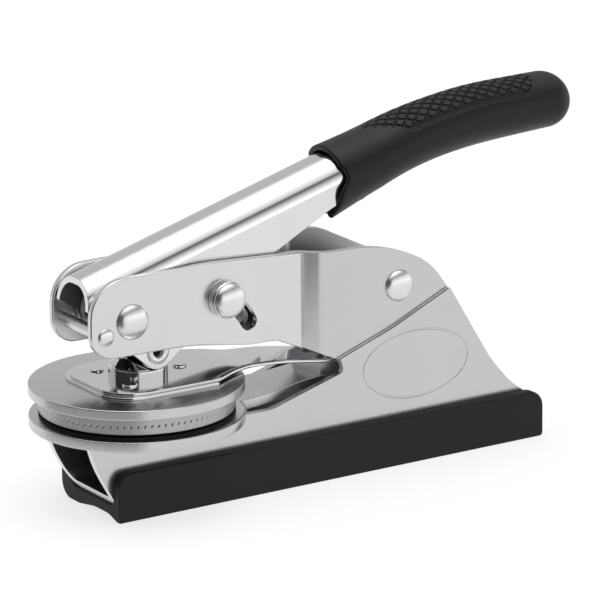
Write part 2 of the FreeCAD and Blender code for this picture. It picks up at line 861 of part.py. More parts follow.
def link_outline():
    """Side view of a link plate: rounded front, level top, underside rising to the front."""
    top = S.pivot_height + 11.6
    low = S.pivot_height - 8.9
    rear = S.arm_step - 1.1
    return [
        (S.pivot_place - 12.2, low, 6.8),
        (24.0, low - 0.2, 80),
        (43.0, S.pivot_height - 12.0, 12),
        (50.5, S.pivot_height - 12.1, 8),
        (rear, S.pivot_height - 15.6, 0.4),
        (rear, top - 1.3, 0.4),
        (30.0, top + 0.3, 120),
        (S.pivot_place - 11.9, top, 10),
    ]


link_holes = (
    (S.pivot_place, S.pivot_height, S.pivot_dia / 2 + S.fit_gap),
    (S.pivot_place - S.stop_place, S.pivot_height - S.stop_drop, S.stop_dia / 2 + S.fit_gap),
)
for label, start in (
    ("near_link_plate", "-link_width / 2"),
    ("far_link_plate", "link_width / 2 - link_sheet"),
):
    plate = prism(f"{label}_body", "XZ", link_outline(), start, "link_sheet", link_holes)
    slot = slot_cutter(f"{label}_slot", S.stud_dia / 2 + 0.3, start, "link_sheet")
    node(label, cut(label, plate, [slot]))

LINK_BLOCK = SimpleNamespace(inset=3.5, length=6.0, low=12.6, height=6.5)
link_blocks = [
    box(
        f"link_block_{i}",
        f"{LINK_BLOCK.length}",
        "link_width / 2 - link_sheet - arm_width / 2",
        f"{LINK_BLOCK.height}",
        (f"arm_step - {LINK_BLOCK.inset + LINK_BLOCK.length}", start, f"pivot_height - {LINK_BLOCK.low}"),
    )
    for i, start in enumerate(("arm_width / 2", "-(link_width / 2 - link_sheet)"))
]
node("link_spacers", group("link_spacers", link_blocks))

node(
    "pivot_rivet",
    rivet(
        "pivot_rivet",
        S.pivot_head,
        S.pivot_dia,
        LINK_HALF,
        S.pivot_dome,
        "pivot_place",
        "pivot_height",
    ),
)


def tube(name, bore, outside, low, high, base):
    """A plain tube along Y between two distances from the middle plane."""
    profile = [(bore / 2, low), (outside / 2, low), (outside / 2, high), (bore / 2, high)]
    return turned(name, "Y", outline_edges(profile), base)


PIVOT = ("pivot_place", "0", "pivot_height")
node(
    "pivot_bush",
    tube(
        "pivot_bush",
        S.pivot_dia,
        S.pivot_dia + 1.2,
        S.frame_sheet - ARM_HALF,
        ARM_HALF - S.frame_sheet,
        PIVOT,
    ),
)
washers = []
for side in (-1, 1):
    for label, inner, outer in (("inner", ARM_HALF, LEG_INNER), ("outer", LEG_HALF, LINK_INNER)):
        low, high = sorted((side * (inner + S.fit_gap), side * (outer - S.fit_gap)))
        washers.append(tube(f"washer_{label}_{side + 1}", S.pivot_dia, S.washer_dia, low, high, PIVOT))
node("pivot_washers", group("pivot_washers", washers))

node(
    "stop_bar",
    rivet(
        "stop_bar",
        S.stop_head,
        S.stop_dia,
        LINK_HALF,
        S.stop_dome,
        "pivot_place - stop_place",
        "pivot_height - stop_drop",
    ),
)
node(
    "stop_sleeve",
    tube(
        "stop_sleeve",
        S.stop_dia,
        S.sleeve_dia,
        -LINK_INNER,
        LINK_INNER,
        ("pivot_place - stop_place", "0", "pivot_height - stop_drop"),
    ),
)
node(
    "rear_rivet",
    rivet(
        "rear_rivet",
        S.rear_rivet_head,
        S.rear_rivet_dia,
        CHEEK_HALF,
        S.rear_rivet_dome,
        "rear_rivet_place",
        "rear_rivet_height",
    ),
)
rear_inner = CHEEK_HALF - S.frame_sheet
node(
    "rear_spacer",
    tube(
        "rear_spacer",
        S.rear_rivet_dia,
        S.rear_rivet_dia + 3.0,
        -rear_inner,
        rear_inner,
        ("rear_rivet_place", "0", "rear_rivet_height"),
    ),
)

# --- Lever: a folded channel on the pivot, with cam lobes that carry the roller pin ---------


def crest(x):
    """Height of the channel's top line at x."""
    return S.pivot_height + S.crest_rise + math.tan(SLOPE) * (x - S.pivot_place)


ALONG = Vector(math.cos(SLOPE), 0, math.sin(SLOPE))
UPRIGHT = Vector(-math.sin(SLOPE), 0, math.cos(SLOPE))
HANDLE_TURN = Rotation(Vector(0, 1, 0), UPRIGHT, ALONG, "XYZ")


def handle_bar(name, half, drop, corner, start, length):
    """A round-topped bar in line with the lever, its top this far under the crest line."""
    points = [(-half, -drop, corner), (-half, -45), (half, -45), (half, -drop, corner)]
    drawing = doc.addObject("Sketcher::SketchObject", name + "_sketch")
    for edge in outline_edges(points):
        drawing.addGeometry(edge, False)
    drawing.Placement = Placement(Vector(start, 0, crest(start)), HANDLE_TURN)
    bar = doc.addObject("Part::Extrusion", name)
    bar.Base = drawing
    bar.DirMode = "Custom"
    bar.Dir = ALONG
    bar.Solid = True
    bar.LengthFwd = length
    return bar


LEG_CUT = 9.0


def leg_outline():
    """Side view of the channel: front end over the stop bar, lobes round the roller pin,
    a notch that meets the stop stud, and a lower edge that runs up into the grip."""
    px, pz = S.pivot_place, S.pivot_height
    tang_rear = S.tang_end
    return [
        (px - 9.0, pz + 20.0),
        (px - 11.3, pz + 3.6, 0.6),
        (px - 7.8, pz + 1.0, 1.5),
        (px - 5.8, pz + 0.1, 1.0),
        (px - 4.8, pz - 3.9, 1.0),
        (ROLLER_X - 0.2, ROLLER_Z - 6.0, S.lobe_radius),
        (px + 22.2, pz - 5.6, 2),
        (px + 23.8, pz, 3),
        (px + 22.8, pz + 6.0, 1.5),
        (px + 29.1, pz + 7.6, 3),
        (px + 37.6, pz + 7.1, 5),
        (px + 44.0, pz + 10.4, 20),
        (px + 61.6, pz + 19.5, 30),
        (px + 68.0, pz + 22.0),
        (tang_rear, crest(tang_rear) - LEG_CUT),
        (tang_rear, pz + 60.0),
    ]


bar_start = S.pivot_place - 20.0
bar_length = (S.tang_end - bar_start) / math.cos(SLOPE) + 10
channel = cut(
    "channel",
    handle_bar("channel_outside", LEG_HALF, 0, S.handle_round, bar_start, bar_length),
    [
        handle_bar(
            "channel_inside",
            LEG_INNER,
            S.handle_sheet,
            S.handle_round - S.handle_sheet,
            bar_start,
            bar_length,
        )
    ],
)
legs = prism(
    "legs",
    "XZ",
    leg_outline(),
    "-frame_width",
    "2 * frame_width",
    (
        (S.pivot_place, S.pivot_height, S.pivot_dia / 2 + S.fit_gap),
        (ROLLER_X, ROLLER_Z, S.roller_pin_dia / 2),
    ),
)
lever = common("lever", channel, legs)
node("handle_channel", group("handle_channel", [lever]))

ROLLER = ("roller_place", "0", "roller_height")
node(
    "roller_pin",
    tube(
        "roller_pin",
        S.roller_pin_bore,
        S.roller_pin_dia,
        -LEG_HALF - 0.3,
        LEG_HALF + 0.3,
        ROLLER,
    ),
)
node(
    "roller",
    tube(
        "roller",
        S.roller_pin_dia + 2 * S.fit_gap,
        S.roller_dia,
        0.2 - LEG_INNER,
        LEG_INNER - 0.2,
        ROLLER,
    ),
)

# --- Grip: moulded over the channel's end, lofted through oval sections ---------------------

# Height over the mouth's middle, tilt, half width and half height, at even steps to the end.
# The first one stands in front of the mouth, so that the rim can be cut to its curve.
GRIP_FRONT = S.grip_end - S.grip_length
GRIP_MOUTH = (GRIP_FRONT, crest(GRIP_FRONT) - S.grip_drop)
GRIP_STATIONS = (
    (-2.7, 11.0, 10.4, 10.4),
    (0.0, 11.0, 10.3, 9.6),
    (4.0, 16.0, 9.9, 8.3),
    (7.5, 15.0, 9.5, 7.95),
    (9.8, 9.0, 9.2, 7.9),
    (11.2, 5.0, 9.0, 7.95),
    (11.8, 2.5, 8.9, 7.8),
    (12.2, 0.0, 8.8, 7.6),
)
GRIP_STEP = (S.grip_length - S.grip_tip) / (len(GRIP_STATIONS) - 2)


def oval(name, x, z, tilt, wide, tall):
    """An upright oval across the grip, tilted back by so many degrees."""
    ring = doc.addObject("Part::Ellipse", name)
    ring.MajorRadius = wide
    ring.MinorRadius = tall
    turn = math.radians(tilt)
    up = Vector(-math.sin(turn), 0, math.cos(turn))
    along = Vector(math.cos(turn), 0, math.sin(turn))
    ring.Placement = Placement(Vector(x, 0, z), Rotation(Vector(0, 1, 0), up, along, "XYZ"))
    return ring


grip_body = doc.addObject("Part::Loft", "grip_body")
grip_body.Sections = [
    oval(f"grip_oval_{i}", GRIP_MOUTH[0] + (i - 1) * GRIP_STEP, GRIP_MOUTH[1] + rise, tilt, wide, tall)
    for i, (rise, tilt, wide, tall) in enumerate(GRIP_STATIONS)
]
grip_body.Solid = True
# The rounded tip stands a little inside the last oval.
grip_tip = doc.addObject("Part::Ellipsoid", "grip_tip")
grip_tip.Radius1 = GRIP_STATIONS[-1][3] - 0.1
bind(grip_tip, "Radius2", "grip_tip + 1")
grip_tip.Radius3 = GRIP_STATIONS[-1][2] - 0.1
tip_height = f"pivot_height + {GRIP_MOUTH[1] - S.pivot_height + GRIP_STATIONS[-1][0]}"
place(grip_tip, ("grip_end - grip_tip - 1", "0", tip_height))


def mouth_outline():
    """Side view of what the mouth leaves open: its rim sweeps forward in an S to a chin."""
    x, z = GRIP_MOUTH
    return [
        (x - 24.0, z + 16.0),
        (x - 3.5, z + 16.0),
        (x - 0.8, z + 4.2),
        (x - 1.0, z + 2.0),
        (x - 2.3, z - 1.2),
        (x - 2.9, z - 4.4),
        (x - 4.8, z - 7.4),
        (x + 2.4, z - 10.6),
        (x + 6.0, z - 20.0),
        (x - 24.0, z - 20.0),
    ]


mouth_tilt = math.radians(GRIP_STATIONS[1][1])
mouth_along = Vector(math.cos(mouth_tilt), 0, math.sin(mouth_tilt))
recess_reach = 2 * S.grip_recess
recess_start = Vector(GRIP_MOUTH[0], 0, GRIP_MOUTH[1]) - mouth_along * recess_reach
recess = doc.addObject("Part::Extrusion", "grip_recess")
recess.Base = oval(
    "recess_oval",
    recess_start.x,
    recess_start.z,
    GRIP_STATIONS[1][1],
    GRIP_STATIONS[1][2] - S.grip_wall,
    GRIP_STATIONS[1][3] - S.grip_wall,
)
recess.DirMode = "Custom"
recess.Dir = mouth_along
recess.Solid = True
recess.LengthFwd = S.grip_recess + recess_reach
mouth = prism("grip_mouth", "XZ", mouth_outline(), "-frame_width", "2 * frame_width")
node("grip", cut("grip", fuse("grip_solid", [grip_body, grip_tip]), [mouth, recess, lever]))

# --- Stop stud: a bar through the curved slots, with a finger collar on each side -----------

STUD_ANGLE = math.radians(60.8)
STUD_X = SLOT_CENTRE[0] + S.slot_radius * math.cos(STUD_ANGLE)
STUD_Z = SLOT_CENTRE[1] + S.slot_radius * math.sin(STUD_ANGLE)
STUD = (f"{STUD_X}", "0", f"{STUD_Z}")
COLLAR_IN = LINK_HALF + 0.1
COLLAR_OUT = COLLAR_IN + S.collar_height
stud_edges = dome_edges(S.stud_head / 2, S.stud_dome, S.stud_dia / 2, COLLAR_OUT)
node("stop_stud", turned("stop_stud", "Y", stud_edges, STUD))


def collar(name, side):
    """A round collar with soft edges, outside one link plate."""
    profile = [
        (S.stud_dia / 2, side * COLLAR_IN),
        (S.collar_dia / 2, side * COLLAR_IN, 0.3),
        (S.collar_dia / 2, side * COLLAR_OUT, 0.6),
        (S.stud_dia / 2, side * COLLAR_OUT),
    ]
    return turned(name, "Y", outline_edges(profile), STUD)


node("stud_collars", group("stud_collars", [collar("near_collar", -1), collar("far_collar", 1)]))

# --- Return spring: coils round the pivot bush, one tail behind the stop bar, one under the roof

FRONT_ANGLE = 167.0
REAR_ANGLE = 125.0
FRONT_TAIL = 7.6
REAR_TAIL = 19.7
COIL_TURNS = 4
COIL_PITCH = S.wire_dia + 0.15


def spring_wire():
    """Round wire along a straight tail, the coils round Z from +X, and a second straight tail."""
    turns = COIL_TURNS + (FRONT_ANGLE - REAR_ANGLE) / 360
    coil = Part.makeHelix(COIL_PITCH, COIL_PITCH * turns, S.coil_radius).Edges[0]
    start, end = coil.valueAt(coil.FirstParameter), coil.valueAt(coil.LastParameter)
    away, onward = coil.tangentAt(coil.FirstParameter), coil.tangentAt(coil.LastParameter)
    tip = start - away * FRONT_TAIL
    lines = Part.makeLine(tip, start), Part.makeLine(end, end + onward * REAR_TAIL)
    ring = Part.Wire([Part.makeCircle(S.wire_dia / 2, tip, away)])
    return Part.Wire([lines[0], coil, lines[1]]).makePipeShell([ring], True, True)


wire = doc.addObject("Part::Feature", "spring_wire")
wire.Shape = spring_wire()
wire_turn = Rotation(Vector(1, 0, 0), -90).multiply(Rotation(Vector(0, 0, 1), -FRONT_ANGLE))
wire_side = -COIL_PITCH * (COIL_TURNS + (FRONT_ANGLE - REAR_ANGLE) / 360) / 2
place(wire, ("pivot_place", f"{wire_side}", "pivot_height"), wire_turn)
node("return_spring", group("return_spring", [wire]))

# --- Check and write ---------------------------------------------------------------------

doc.recompute()
for thing in doc.Objects:
    for flag in ("Invalid", "Error"):
        if flag in thing.State:
            raise RuntimeError(f"{thing.Name} is {flag}")
for piece in NODES:
    if piece.Shape.isNull() or not piece.Shape.isValid() or piece.Shape.Volume <= 0:
        raise RuntimeError(f"{piece.Label} has no valid shape")

os.makedirs("parts", exist_ok=True)
for piece in NODES:
    piece.Shape.exportStep(f"parts/{piece.Label}.step")
    print(f"{piece.Label}: {len(piece.Shape.Solids)} solids, {piece.Shape.Volume:.1f} mm3")
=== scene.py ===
import math

import bmesh
import bpy
import numpy as np
from mathutils import Matrix, Vector


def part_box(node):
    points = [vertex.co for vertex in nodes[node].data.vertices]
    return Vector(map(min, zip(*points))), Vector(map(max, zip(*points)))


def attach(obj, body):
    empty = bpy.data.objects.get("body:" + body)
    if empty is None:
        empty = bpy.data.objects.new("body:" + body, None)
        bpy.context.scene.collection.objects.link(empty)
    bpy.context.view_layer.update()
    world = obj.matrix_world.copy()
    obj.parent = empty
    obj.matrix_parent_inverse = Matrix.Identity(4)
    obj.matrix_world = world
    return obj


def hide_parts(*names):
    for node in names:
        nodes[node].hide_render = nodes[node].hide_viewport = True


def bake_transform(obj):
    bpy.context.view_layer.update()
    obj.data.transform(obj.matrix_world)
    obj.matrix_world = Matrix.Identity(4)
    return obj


# Desk seal embosser. Metres; +X runs from the dies to the grip, +Z is up, Y = 0 is the middle
# plane, and the origin lies on the desk under the middle of the machine.
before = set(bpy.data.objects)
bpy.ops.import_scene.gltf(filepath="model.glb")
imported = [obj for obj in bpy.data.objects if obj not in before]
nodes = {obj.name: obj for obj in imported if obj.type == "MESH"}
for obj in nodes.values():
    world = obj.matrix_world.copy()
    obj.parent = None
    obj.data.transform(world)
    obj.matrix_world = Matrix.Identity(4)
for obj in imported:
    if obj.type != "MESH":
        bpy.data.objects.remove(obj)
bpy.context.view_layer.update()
MM = 0.001

# --- Camera ----------------------------------------------------------------------------------
# A long lens in front of the near side, a little above the machine and turned by a hair.
VIEW_AZIMUTH = math.radians(-32.431)
VIEW_ELEVATION = math.radians(15.861)
VIEW_ROLL = math.radians(-0.657)
CAMERA_PLACE = Vector((-603.10, -944.08, 363.30)) * MM
LENS = 266.1

view_back = Vector(
    (
        math.sin(VIEW_AZIMUTH) * math.cos(VIEW_ELEVATION),
        -math.cos(VIEW_AZIMUTH) * math.cos(VIEW_ELEVATION),
        math.sin(VIEW_ELEVATION),
    )
)
view_right = Vector((math.cos(VIEW_AZIMUTH), math.sin(VIEW_AZIMUTH), 0))
view_turn = Matrix((view_right, view_back.cross(view_right), view_back)).transposed()
camera = bpy.data.objects.new("camera", bpy.data.cameras.new("camera"))
camera.data.lens = LENS
camera.data.sensor_width = 36
camera.data.clip_start = 0.05
camera.data.clip_end = 30
camera.location = CAMERA_PLACE
camera.rotation_euler = (view_turn @ Matrix.Rotation(VIEW_ROLL, 3, "Z")).to_euler()
bpy.context.scene.collection.objects.link(camera)
bpy.context.scene.camera = camera
bpy.context.scene.view_settings.view_transform = "Standard"

# --- Studio light ----------------------------------------------------------------------------
# A soft tent: bright overhead, a narrow dark gap high in front, a bright front wall below it
# and an even grey wall behind the machine. Pairs are (sine of the height, brightness).
FRONT_WALL = (
    (0.00, 1.70),
    (0.10, 1.60),
    (0.17, 1.35),
    (0.31, 0.98),
    (0.42, 0.62),
    (0.52, 0.34),
    (0.58, 0.10),
    (0.64, 0.34),
    (0.70, 0.80),
    (0.82, 1.16),
    (0.90, 1.40),
    (0.95, 2.00),
    (1.00, 4.00),
)
REAR_WALL = ((0.00, 0.66), (0.60, 0.63), (0.77, 0.95), (0.85, 1.50), (0.93, 2.00), (1.00, 4.00))
BRIGHTEST = 4.0
WALL_BLEND = 0.25

world = bpy.data.worlds.new("studio")
world.use_nodes = True
bpy.context.scene.world = world


def wire(tree, kind, **inputs):
    """Adds a shader node. Each named input gets a number, a colour or another node's output."""
    made = tree.nodes.new(kind)
    for name, value in inputs.items():
        place = int(name[1:]) if name[1:].isdigit() else name.replace("_", " ")
        socket = made.inputs[place]
        if isinstance(value, bpy.types.NodeSocket):
            tree.links.new(value, socket)
        else:
            socket.default_value = value
    return made


def ramp(tree, stops, factor):
    """A colour ramp of greys from (position, brightness) pairs."""
    made = wire(tree, "ShaderNodeValToRGB", Fac=factor)
    band = made.color_ramp
    while len(band.elements) < len(stops):
        band.elements.new(0.5)
    for element, (place, grey) in zip(band.elements, stops):
        element.position = place
        element.color = (grey, grey, grey, 1)
    return made


studio = world.node_tree
studio.nodes.clear()


def fading(value, low, high):
    """Rises smoothly from 0 at low to 1 at high."""
    made = wire(studio, "ShaderNodeMapRange", Value=value)
    made.interpolation_type = "SMOOTHSTEP"
    made.inputs["From Min"].default_value = low
    made.inputs["From Max"].default_value = high
    return made.outputs[0]


direction = studio.nodes.new("ShaderNodeTexCoord").outputs["Generated"]
heading = wire(studio, "ShaderNodeSeparateXYZ", Vector=direction)
front, rear = (
    ramp(studio, [(z, level / BRIGHTEST) for z, level in wall], heading.outputs["Z"])
    for wall in (FRONT_WALL, REAR_WALL)
)
tent = wire(
    studio,
    "ShaderNodeMixRGB",
    Fac=fading(heading.outputs["Y"], -WALL_BLEND, WALL_BLEND),
    Color1=front.outputs["Color"],
    Color2=rear.outputs["Color"],
)
# A black card stands on the left, from the desk to half height: it gives turned and domed
# metal its dark bands. It is a round patch of the sky about this direction.
CARD_HEADING = (-0.977, -0.213, 0.0)
CARD_EDGE = (0.56, 0.66)
CARD_TOP = (0.50, 0.62)
CARD_BLACK = 0.01
toward = wire(studio, "ShaderNodeVectorMath", _0=direction, _1=CARD_HEADING)
toward.operation = "DOT_PRODUCT"
card = wire(
    studio,
    "ShaderNodeMath",
    _0=fading(toward.outputs["Value"], *CARD_EDGE),
    _1=fading(heading.outputs["Z"], CARD_TOP[1], CARD_TOP[0]),
)
card.operation = "MULTIPLY"
shaded_tent = wire(
    studio,
    "ShaderNodeMixRGB",
    Fac=card.outputs[0],
    Color1=tent.outputs[0],
    Color2=(CARD_BLACK, CARD_BLACK, CARD_BLACK, 1),
)
glow = wire(studio, "ShaderNodeBackground", Color=shaded_tent.outputs[0], Strength=BRIGHTEST)
sky = studio.nodes.new("ShaderNodeOutputWorld")
studio.links.new(glow.outputs[0], sky.inputs["Surface"])

# --- Floor -----------------------------------------------------------------------------------
# Plain white board that the machine stands on, lit a little from below, so shadows stay faint.
FLOOR_HALF = 5.0
FLOOR_DROP = -0.02 * MM
FLOOR_WHITE = 0.27
FLOOR_GLOW = 0.73
MATT = 0.9
CORNERS = ((-1, -1), (1, -1), (1, 1), (-1, 1))


def lit_sheet(name, points, faces, white, glow, roughness):
    """A flat sheet of this white that also shines evenly by this glow."""
    mesh = bpy.data.meshes.new(name)
    mesh.from_pydata(points, [], faces)
    sheet = bpy.data.objects.new(name, mesh)
    bpy.context.scene.collection.objects.link(sheet)
    paint = bpy.data.materials.new(name)
    paint.use_nodes = True
    shader = paint.node_tree.nodes["Principled BSDF"]
    shader.inputs["Base Color"].default_value = (white, white, white, 1)
    shader.inputs["Roughness"].default_value = roughness
    shader.inputs["Specular IOR Level"].default_value = 0.0
    shader.inputs["Emission Color"].default_value = (1, 1, 1, 1)
    shader.inputs["Emission Strength"].default_value = glow
    mesh.materials.append(paint)
    return sheet


floor_points = [(x * FLOOR_HALF, y * FLOOR_HALF, FLOOR_DROP) for x, y in CORNERS]
floor = lit_sheet("floor", floor_points, [(0, 1, 2, 3)], FLOOR_WHITE, FLOOR_GLOW, MATT)

# A grey cloth and a darker one beyond it lie on the floor in front and to the left. Only mirrored
# light sees them: they give the steps and the round rims their darker side.
CLOTH_SECTOR = (math.radians(-221.6), math.radians(-115.6))
CLOTH_STEPS = 49
CLOTH_HEIGHT = 0.5 * MM
CLOTH_CENTRE = -53 * MM
# Name, inner and outer reach, grey.
CLOTHS = (("near_cloth", 95 * MM, 150 * MM, 0.50), ("far_cloth", 150 * MM, 3.0, 0.07))

turn = np.linspace(*CLOTH_SECTOR, CLOTH_STEPS)
cloth_faces = [(i, i + CLOTH_STEPS, i + CLOTH_STEPS + 1, i + 1) for i in range(CLOTH_STEPS - 1)]
for name, inner, outer, grey in CLOTHS:
    cloth_points = [
        (CLOTH_CENTRE + reach * x, reach * y, CLOTH_HEIGHT)
        for reach in (inner, outer)
        for x, y in zip(np.cos(turn).tolist(), np.sin(turn).tolist())
    ]
    cloth = lit_sheet(name, cloth_points, cloth_faces, 0, grey, 0.5)
    cloth.visible_camera = False
    cloth.visible_diffuse = False
    cloth.visible_shadow = False

# --- Rubber shoe -----------------------------------------------------------------------------
# A long trough of black rubber that the pressed frame stands in. It is extruded, cut to length
# and held by two rivets through its floor, so its faces are matt with a fine skin grain.
RUBBER = (0.0058, 0.0058, 0.0063, 1)
SHOE_EDGE = 0.30 * MM


def shaded(name, color, metallic, roughness):
    """A new material: its tree, its shader and the object's own coordinates."""
    made = bpy.data.materials.new(name)
    made.use_nodes = True
    tree = made.node_tree
    shader = tree.nodes["Principled BSDF"]
    shader.inputs["Base Color"].default_value = color
    shader.inputs["Metallic"].default_value = metallic
    shader.inputs["Roughness"].default_value = roughness
    return made, tree, shader, tree.nodes.new("ShaderNodeTexCoord").outputs["Object"]


def spread(tree, value, low, high):
    """Stretches a pattern's 0.3 to 0.7 over the range from low to high."""
    made = wire(tree, "ShaderNodeMapRange", Value=value)
    for name, number in (("From Min", 0.3), ("From Max", 0.7), ("To Min", low), ("To Max", high)):
        made.inputs[name].default_value = number
    return made.outputs[0]


def tinted(tree, shader, color, pattern, amount):
    """Lets a pattern lighten and darken a colour by this share."""
    low, high = ([c * (1 + sign * amount) for c in color[:3]] + [1] for sign in (-1, 1))
    mix = wire(tree, "ShaderNodeMixRGB", Fac=pattern, Color1=low, Color2=high)
    tree.links.new(mix.outputs[0], shader.inputs["Base Color"])


def glossed(tree, shader, pattern, low, high):
    """Lets a pattern vary the roughness from low to high."""
    tree.links.new(spread(tree, pattern, low, high), shader.inputs["Roughness"])


def bumped(tree, shader, pattern, height):
    """Raises a pattern by this many metres."""
    relief = wire(tree, "ShaderNodeBump", Height=pattern, Strength=1.0, Distance=height)
    tree.links.new(relief.outputs[0], shader.inputs["Normal"])


def moulded(name, color, roughness, grain, height):
    """Rubber or plastic: even colour with faint clouds, and a fine pitted skin."""
    made, tree, shader, where = shaded(name, color, 0, roughness)
    clouds = wire(tree, "ShaderNodeTexNoise", Vector=where, Scale=90.0, Detail=3.0)
    tinted(tree, shader, color, spread(tree, clouds.outputs["Fac"], 0, 1), 0.12)
    glossed(tree, shader, clouds.outputs["Fac"], roughness - 0.04, roughness + 0.05)
    skin = wire(tree, "ShaderNodeTexNoise", Vector=where, Scale=grain, Detail=2.0)
    bumped(tree, shader, skin.outputs["Fac"], height)
    shader.inputs["Specular IOR Level"].default_value = 0.26
    return made


def soft_edged(name, node, width, material, body, slot, sharp=30):
    """A finished copy of a CAD node: its loose triangles merged into flat faces, and each sharp
    edge broken by a narrow rounded bevel of this width."""
    work = bmesh.new()
    work.from_mesh(nodes[node].data)
    bmesh.ops.remove_doubles(work, verts=work.verts, dist=0.0005 * MM)
    flat = math.radians(0.5)
    bmesh.ops.dissolve_limit(work, angle_limit=flat, verts=work.verts, edges=work.edges)
    mesh = bpy.data.meshes.new(name)
    work.to_mesh(mesh)
    work.free()
    if "custom_normal" in mesh.attributes:
        mesh.attributes.remove(mesh.attributes["custom_normal"])
    mesh.shade_smooth()
    mesh.set_sharp_from_angle(angle=math.radians(sharp))
    return dressed(name, mesh, material, body, slot, node, bevel=width)


def dressed(name, mesh, material, body, slot, *stood_for, bevel=0):
    """Puts a finished mesh into the scene, on its body and in place of the CAD nodes named."""
    piece = bpy.data.objects.new(name, mesh)
    bpy.context.scene.collection.objects.link(piece)
    mesh.materials.clear()
    mesh.materials.append(material)
    if bevel:
        rounding = piece.modifiers.new("edges", "BEVEL")
        rounding.width = bevel
        rounding.segments = 2
        rounding.limit_method = "ANGLE"
        rounding.angle_limit = math.radians(35)
        rounding.use_clamp_overlap = False
        rounding.harden_normals = True
    if body:
        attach(piece, body)
    if stood_for:
        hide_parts(*stood_for)
    return piece


rubber = moulded("black_rubber", RUBBER, 0.55, 2600.0, 0.012 * MM)
soft_edged("rubber_shoe", "base_shoe", SHOE_EDGE, rubber, "root", "rubber_black")

# --- Pressed frame ---------------------------------------------------------------------------
# One U of 2 mm sheet steel, pressed to shape and nickel plated. The plating is satin, with the
# faint unevenness of rolled sheet, and every cut edge is slightly rounded by tumbling.
NICKEL = (0.545, 0.541, 0.557, 1)
PRESSING_EDGE = 0.10 * MM
# Lighter colour of the front-facing end: painted highlight on a real rough sheared finish.
SHEARED_LIT = (0.86, 0.855, 0.87, 1)
END_FACING = -0.75


def mixed(tree, share, first, second):
    """Two patterns in one, with this share of the second."""
    return wire(tree, "ShaderNodeMixRGB", Fac=share, Color1=first, Color2=second).outputs[0]


def plated(name, color, roughness, streak=1.0, ripple=0.00008):
    """Plated steel: slow clouds in tone and gloss, fine polishing lines and a very shallow
    ripple. Streak stretches the lines along X."""
    made, tree, shader, where = shaded(name, color, 1, roughness)
    clouds = wire(tree, "ShaderNodeTexNoise", Vector=where, Scale=55.0, Detail=3.0)
    tinted(tree, shader, color, spread(tree, clouds.outputs["Fac"], 0, 1), 0.02)
    lines = wire(tree, "ShaderNodeMapping", Vector=where)
    lines.inputs["Scale"].default_value = (1 / streak, 1, 1)
    scratches = wire(tree, "ShaderNodeTexNoise", Vector=lines.outputs[0], Scale=3200.0, Detail=2.0)
    both = mixed(tree, 0.5, clouds.outputs["Fac"], scratches.outputs["Fac"])
    glossed(tree, shader, both, roughness * 0.9, roughness * 1.12)
    bumped(tree, shader, scratches.outputs["Fac"], ripple * MM)
    return made


def dented(name, color, roughness, dent):
    """Plated steel with shallow dents, as on rivet heads and sheared ends."""
    made, tree, shader, where = shaded(name, color, 1, roughness)
    dents = wire(tree, "ShaderNodeTexNoise", Vector=where, Scale=420.0, Detail=2.0)
    grit = wire(tree, "ShaderNodeTexNoise", Vector=where, Scale=3000.0, Detail=2.0)
    both = mixed(tree, 0.15, dents.outputs["Fac"], grit.outputs["Fac"])
    tinted(tree, shader, color, spread(tree, dents.outputs["Fac"], 0, 1), 0.03)
    glossed(tree, shader, grit.outputs["Fac"], roughness * 0.8, roughness * 1.2)
    bumped(tree, shader, both, dent)
    return made


def face_shape(piece):
    """Middle point and facing of every face of a piece, as two arrays."""
    rows = np.empty((2, len(piece.data.polygons), 3), dtype=np.float32)
    for row, field in zip(rows, ("center", "normal")):
        flat = np.empty(row.size, dtype=np.float32)
        piece.data.polygons.foreach_get(field, flat)
        row[:] = flat.reshape(row.shape)
    return rows


def other_finish(piece, material, chosen):
    """Gives the chosen faces of a piece a further material."""
    index = np.empty(len(piece.data.polygons), dtype=np.int32)
    piece.data.polygons.foreach_get("material_index", index)
    piece.data.materials.append(material)
    piece.data.polygons.foreach_set(
        "material_index", np.where(chosen, len(piece.data.materials) - 1, index).astype(np.int32)
    )


satin = plated("satin_nickel", NICKEL, 0.24, streak=6.0)
pressing = soft_edged(
    "frame_pressing", "press_frame", PRESSING_EDGE, satin, "root", "nickel_plated"
)
# The sheared front end stays rough under the plating, so it takes light from all round. Its
# colour is also lighter than the plating: a painted highlight on each face that faces the front.
sheared_lit_end = dented("sheared_end_painted_highlight", SHEARED_LIT, 0.62, 0.05 * MM)
other_finish(pressing, sheared_lit_end, face_shape(pressing)[1][:, 0] < END_FACING)

# --- Pieces inside the frame -----------------------------------------------------------------
# Seat block, spacers, bushes and rivets: plain turned and sawn steel, left as it came from
# the tool and only lightly oiled, so it is duller than the plated sheet.
STEEL = (0.50, 0.50, 0.51, 1)


def painted(node, material):
    """Gives a plain solid this material alone."""
    nodes[node].data.materials.clear()
    nodes[node].data.materials.append(material)


plain = plated("oiled_steel", STEEL, 0.36, streak=1.0, ripple=0.001)
for name in (
    "shoe_rivets",
    "seat_block",
    "plate_rivets",
    "button_stud",
    "leaf_clamp_block",
    "clamp_rivets",
    "link_spacers",
    "pivot_bush",
    "pivot_washers",
    "rear_spacer",
):
    painted(name, plain)

# --- Lower die plate -------------------------------------------------------------------------
# A round plate with a tongue back into the throat, blanked and faced, then plated. Its rim
# keeps the fine rings of the turning tool, and its level faces are as smooth as the frame.
PLATE_EDGE = 0.22 * MM
LEVEL_FACING = 0.6


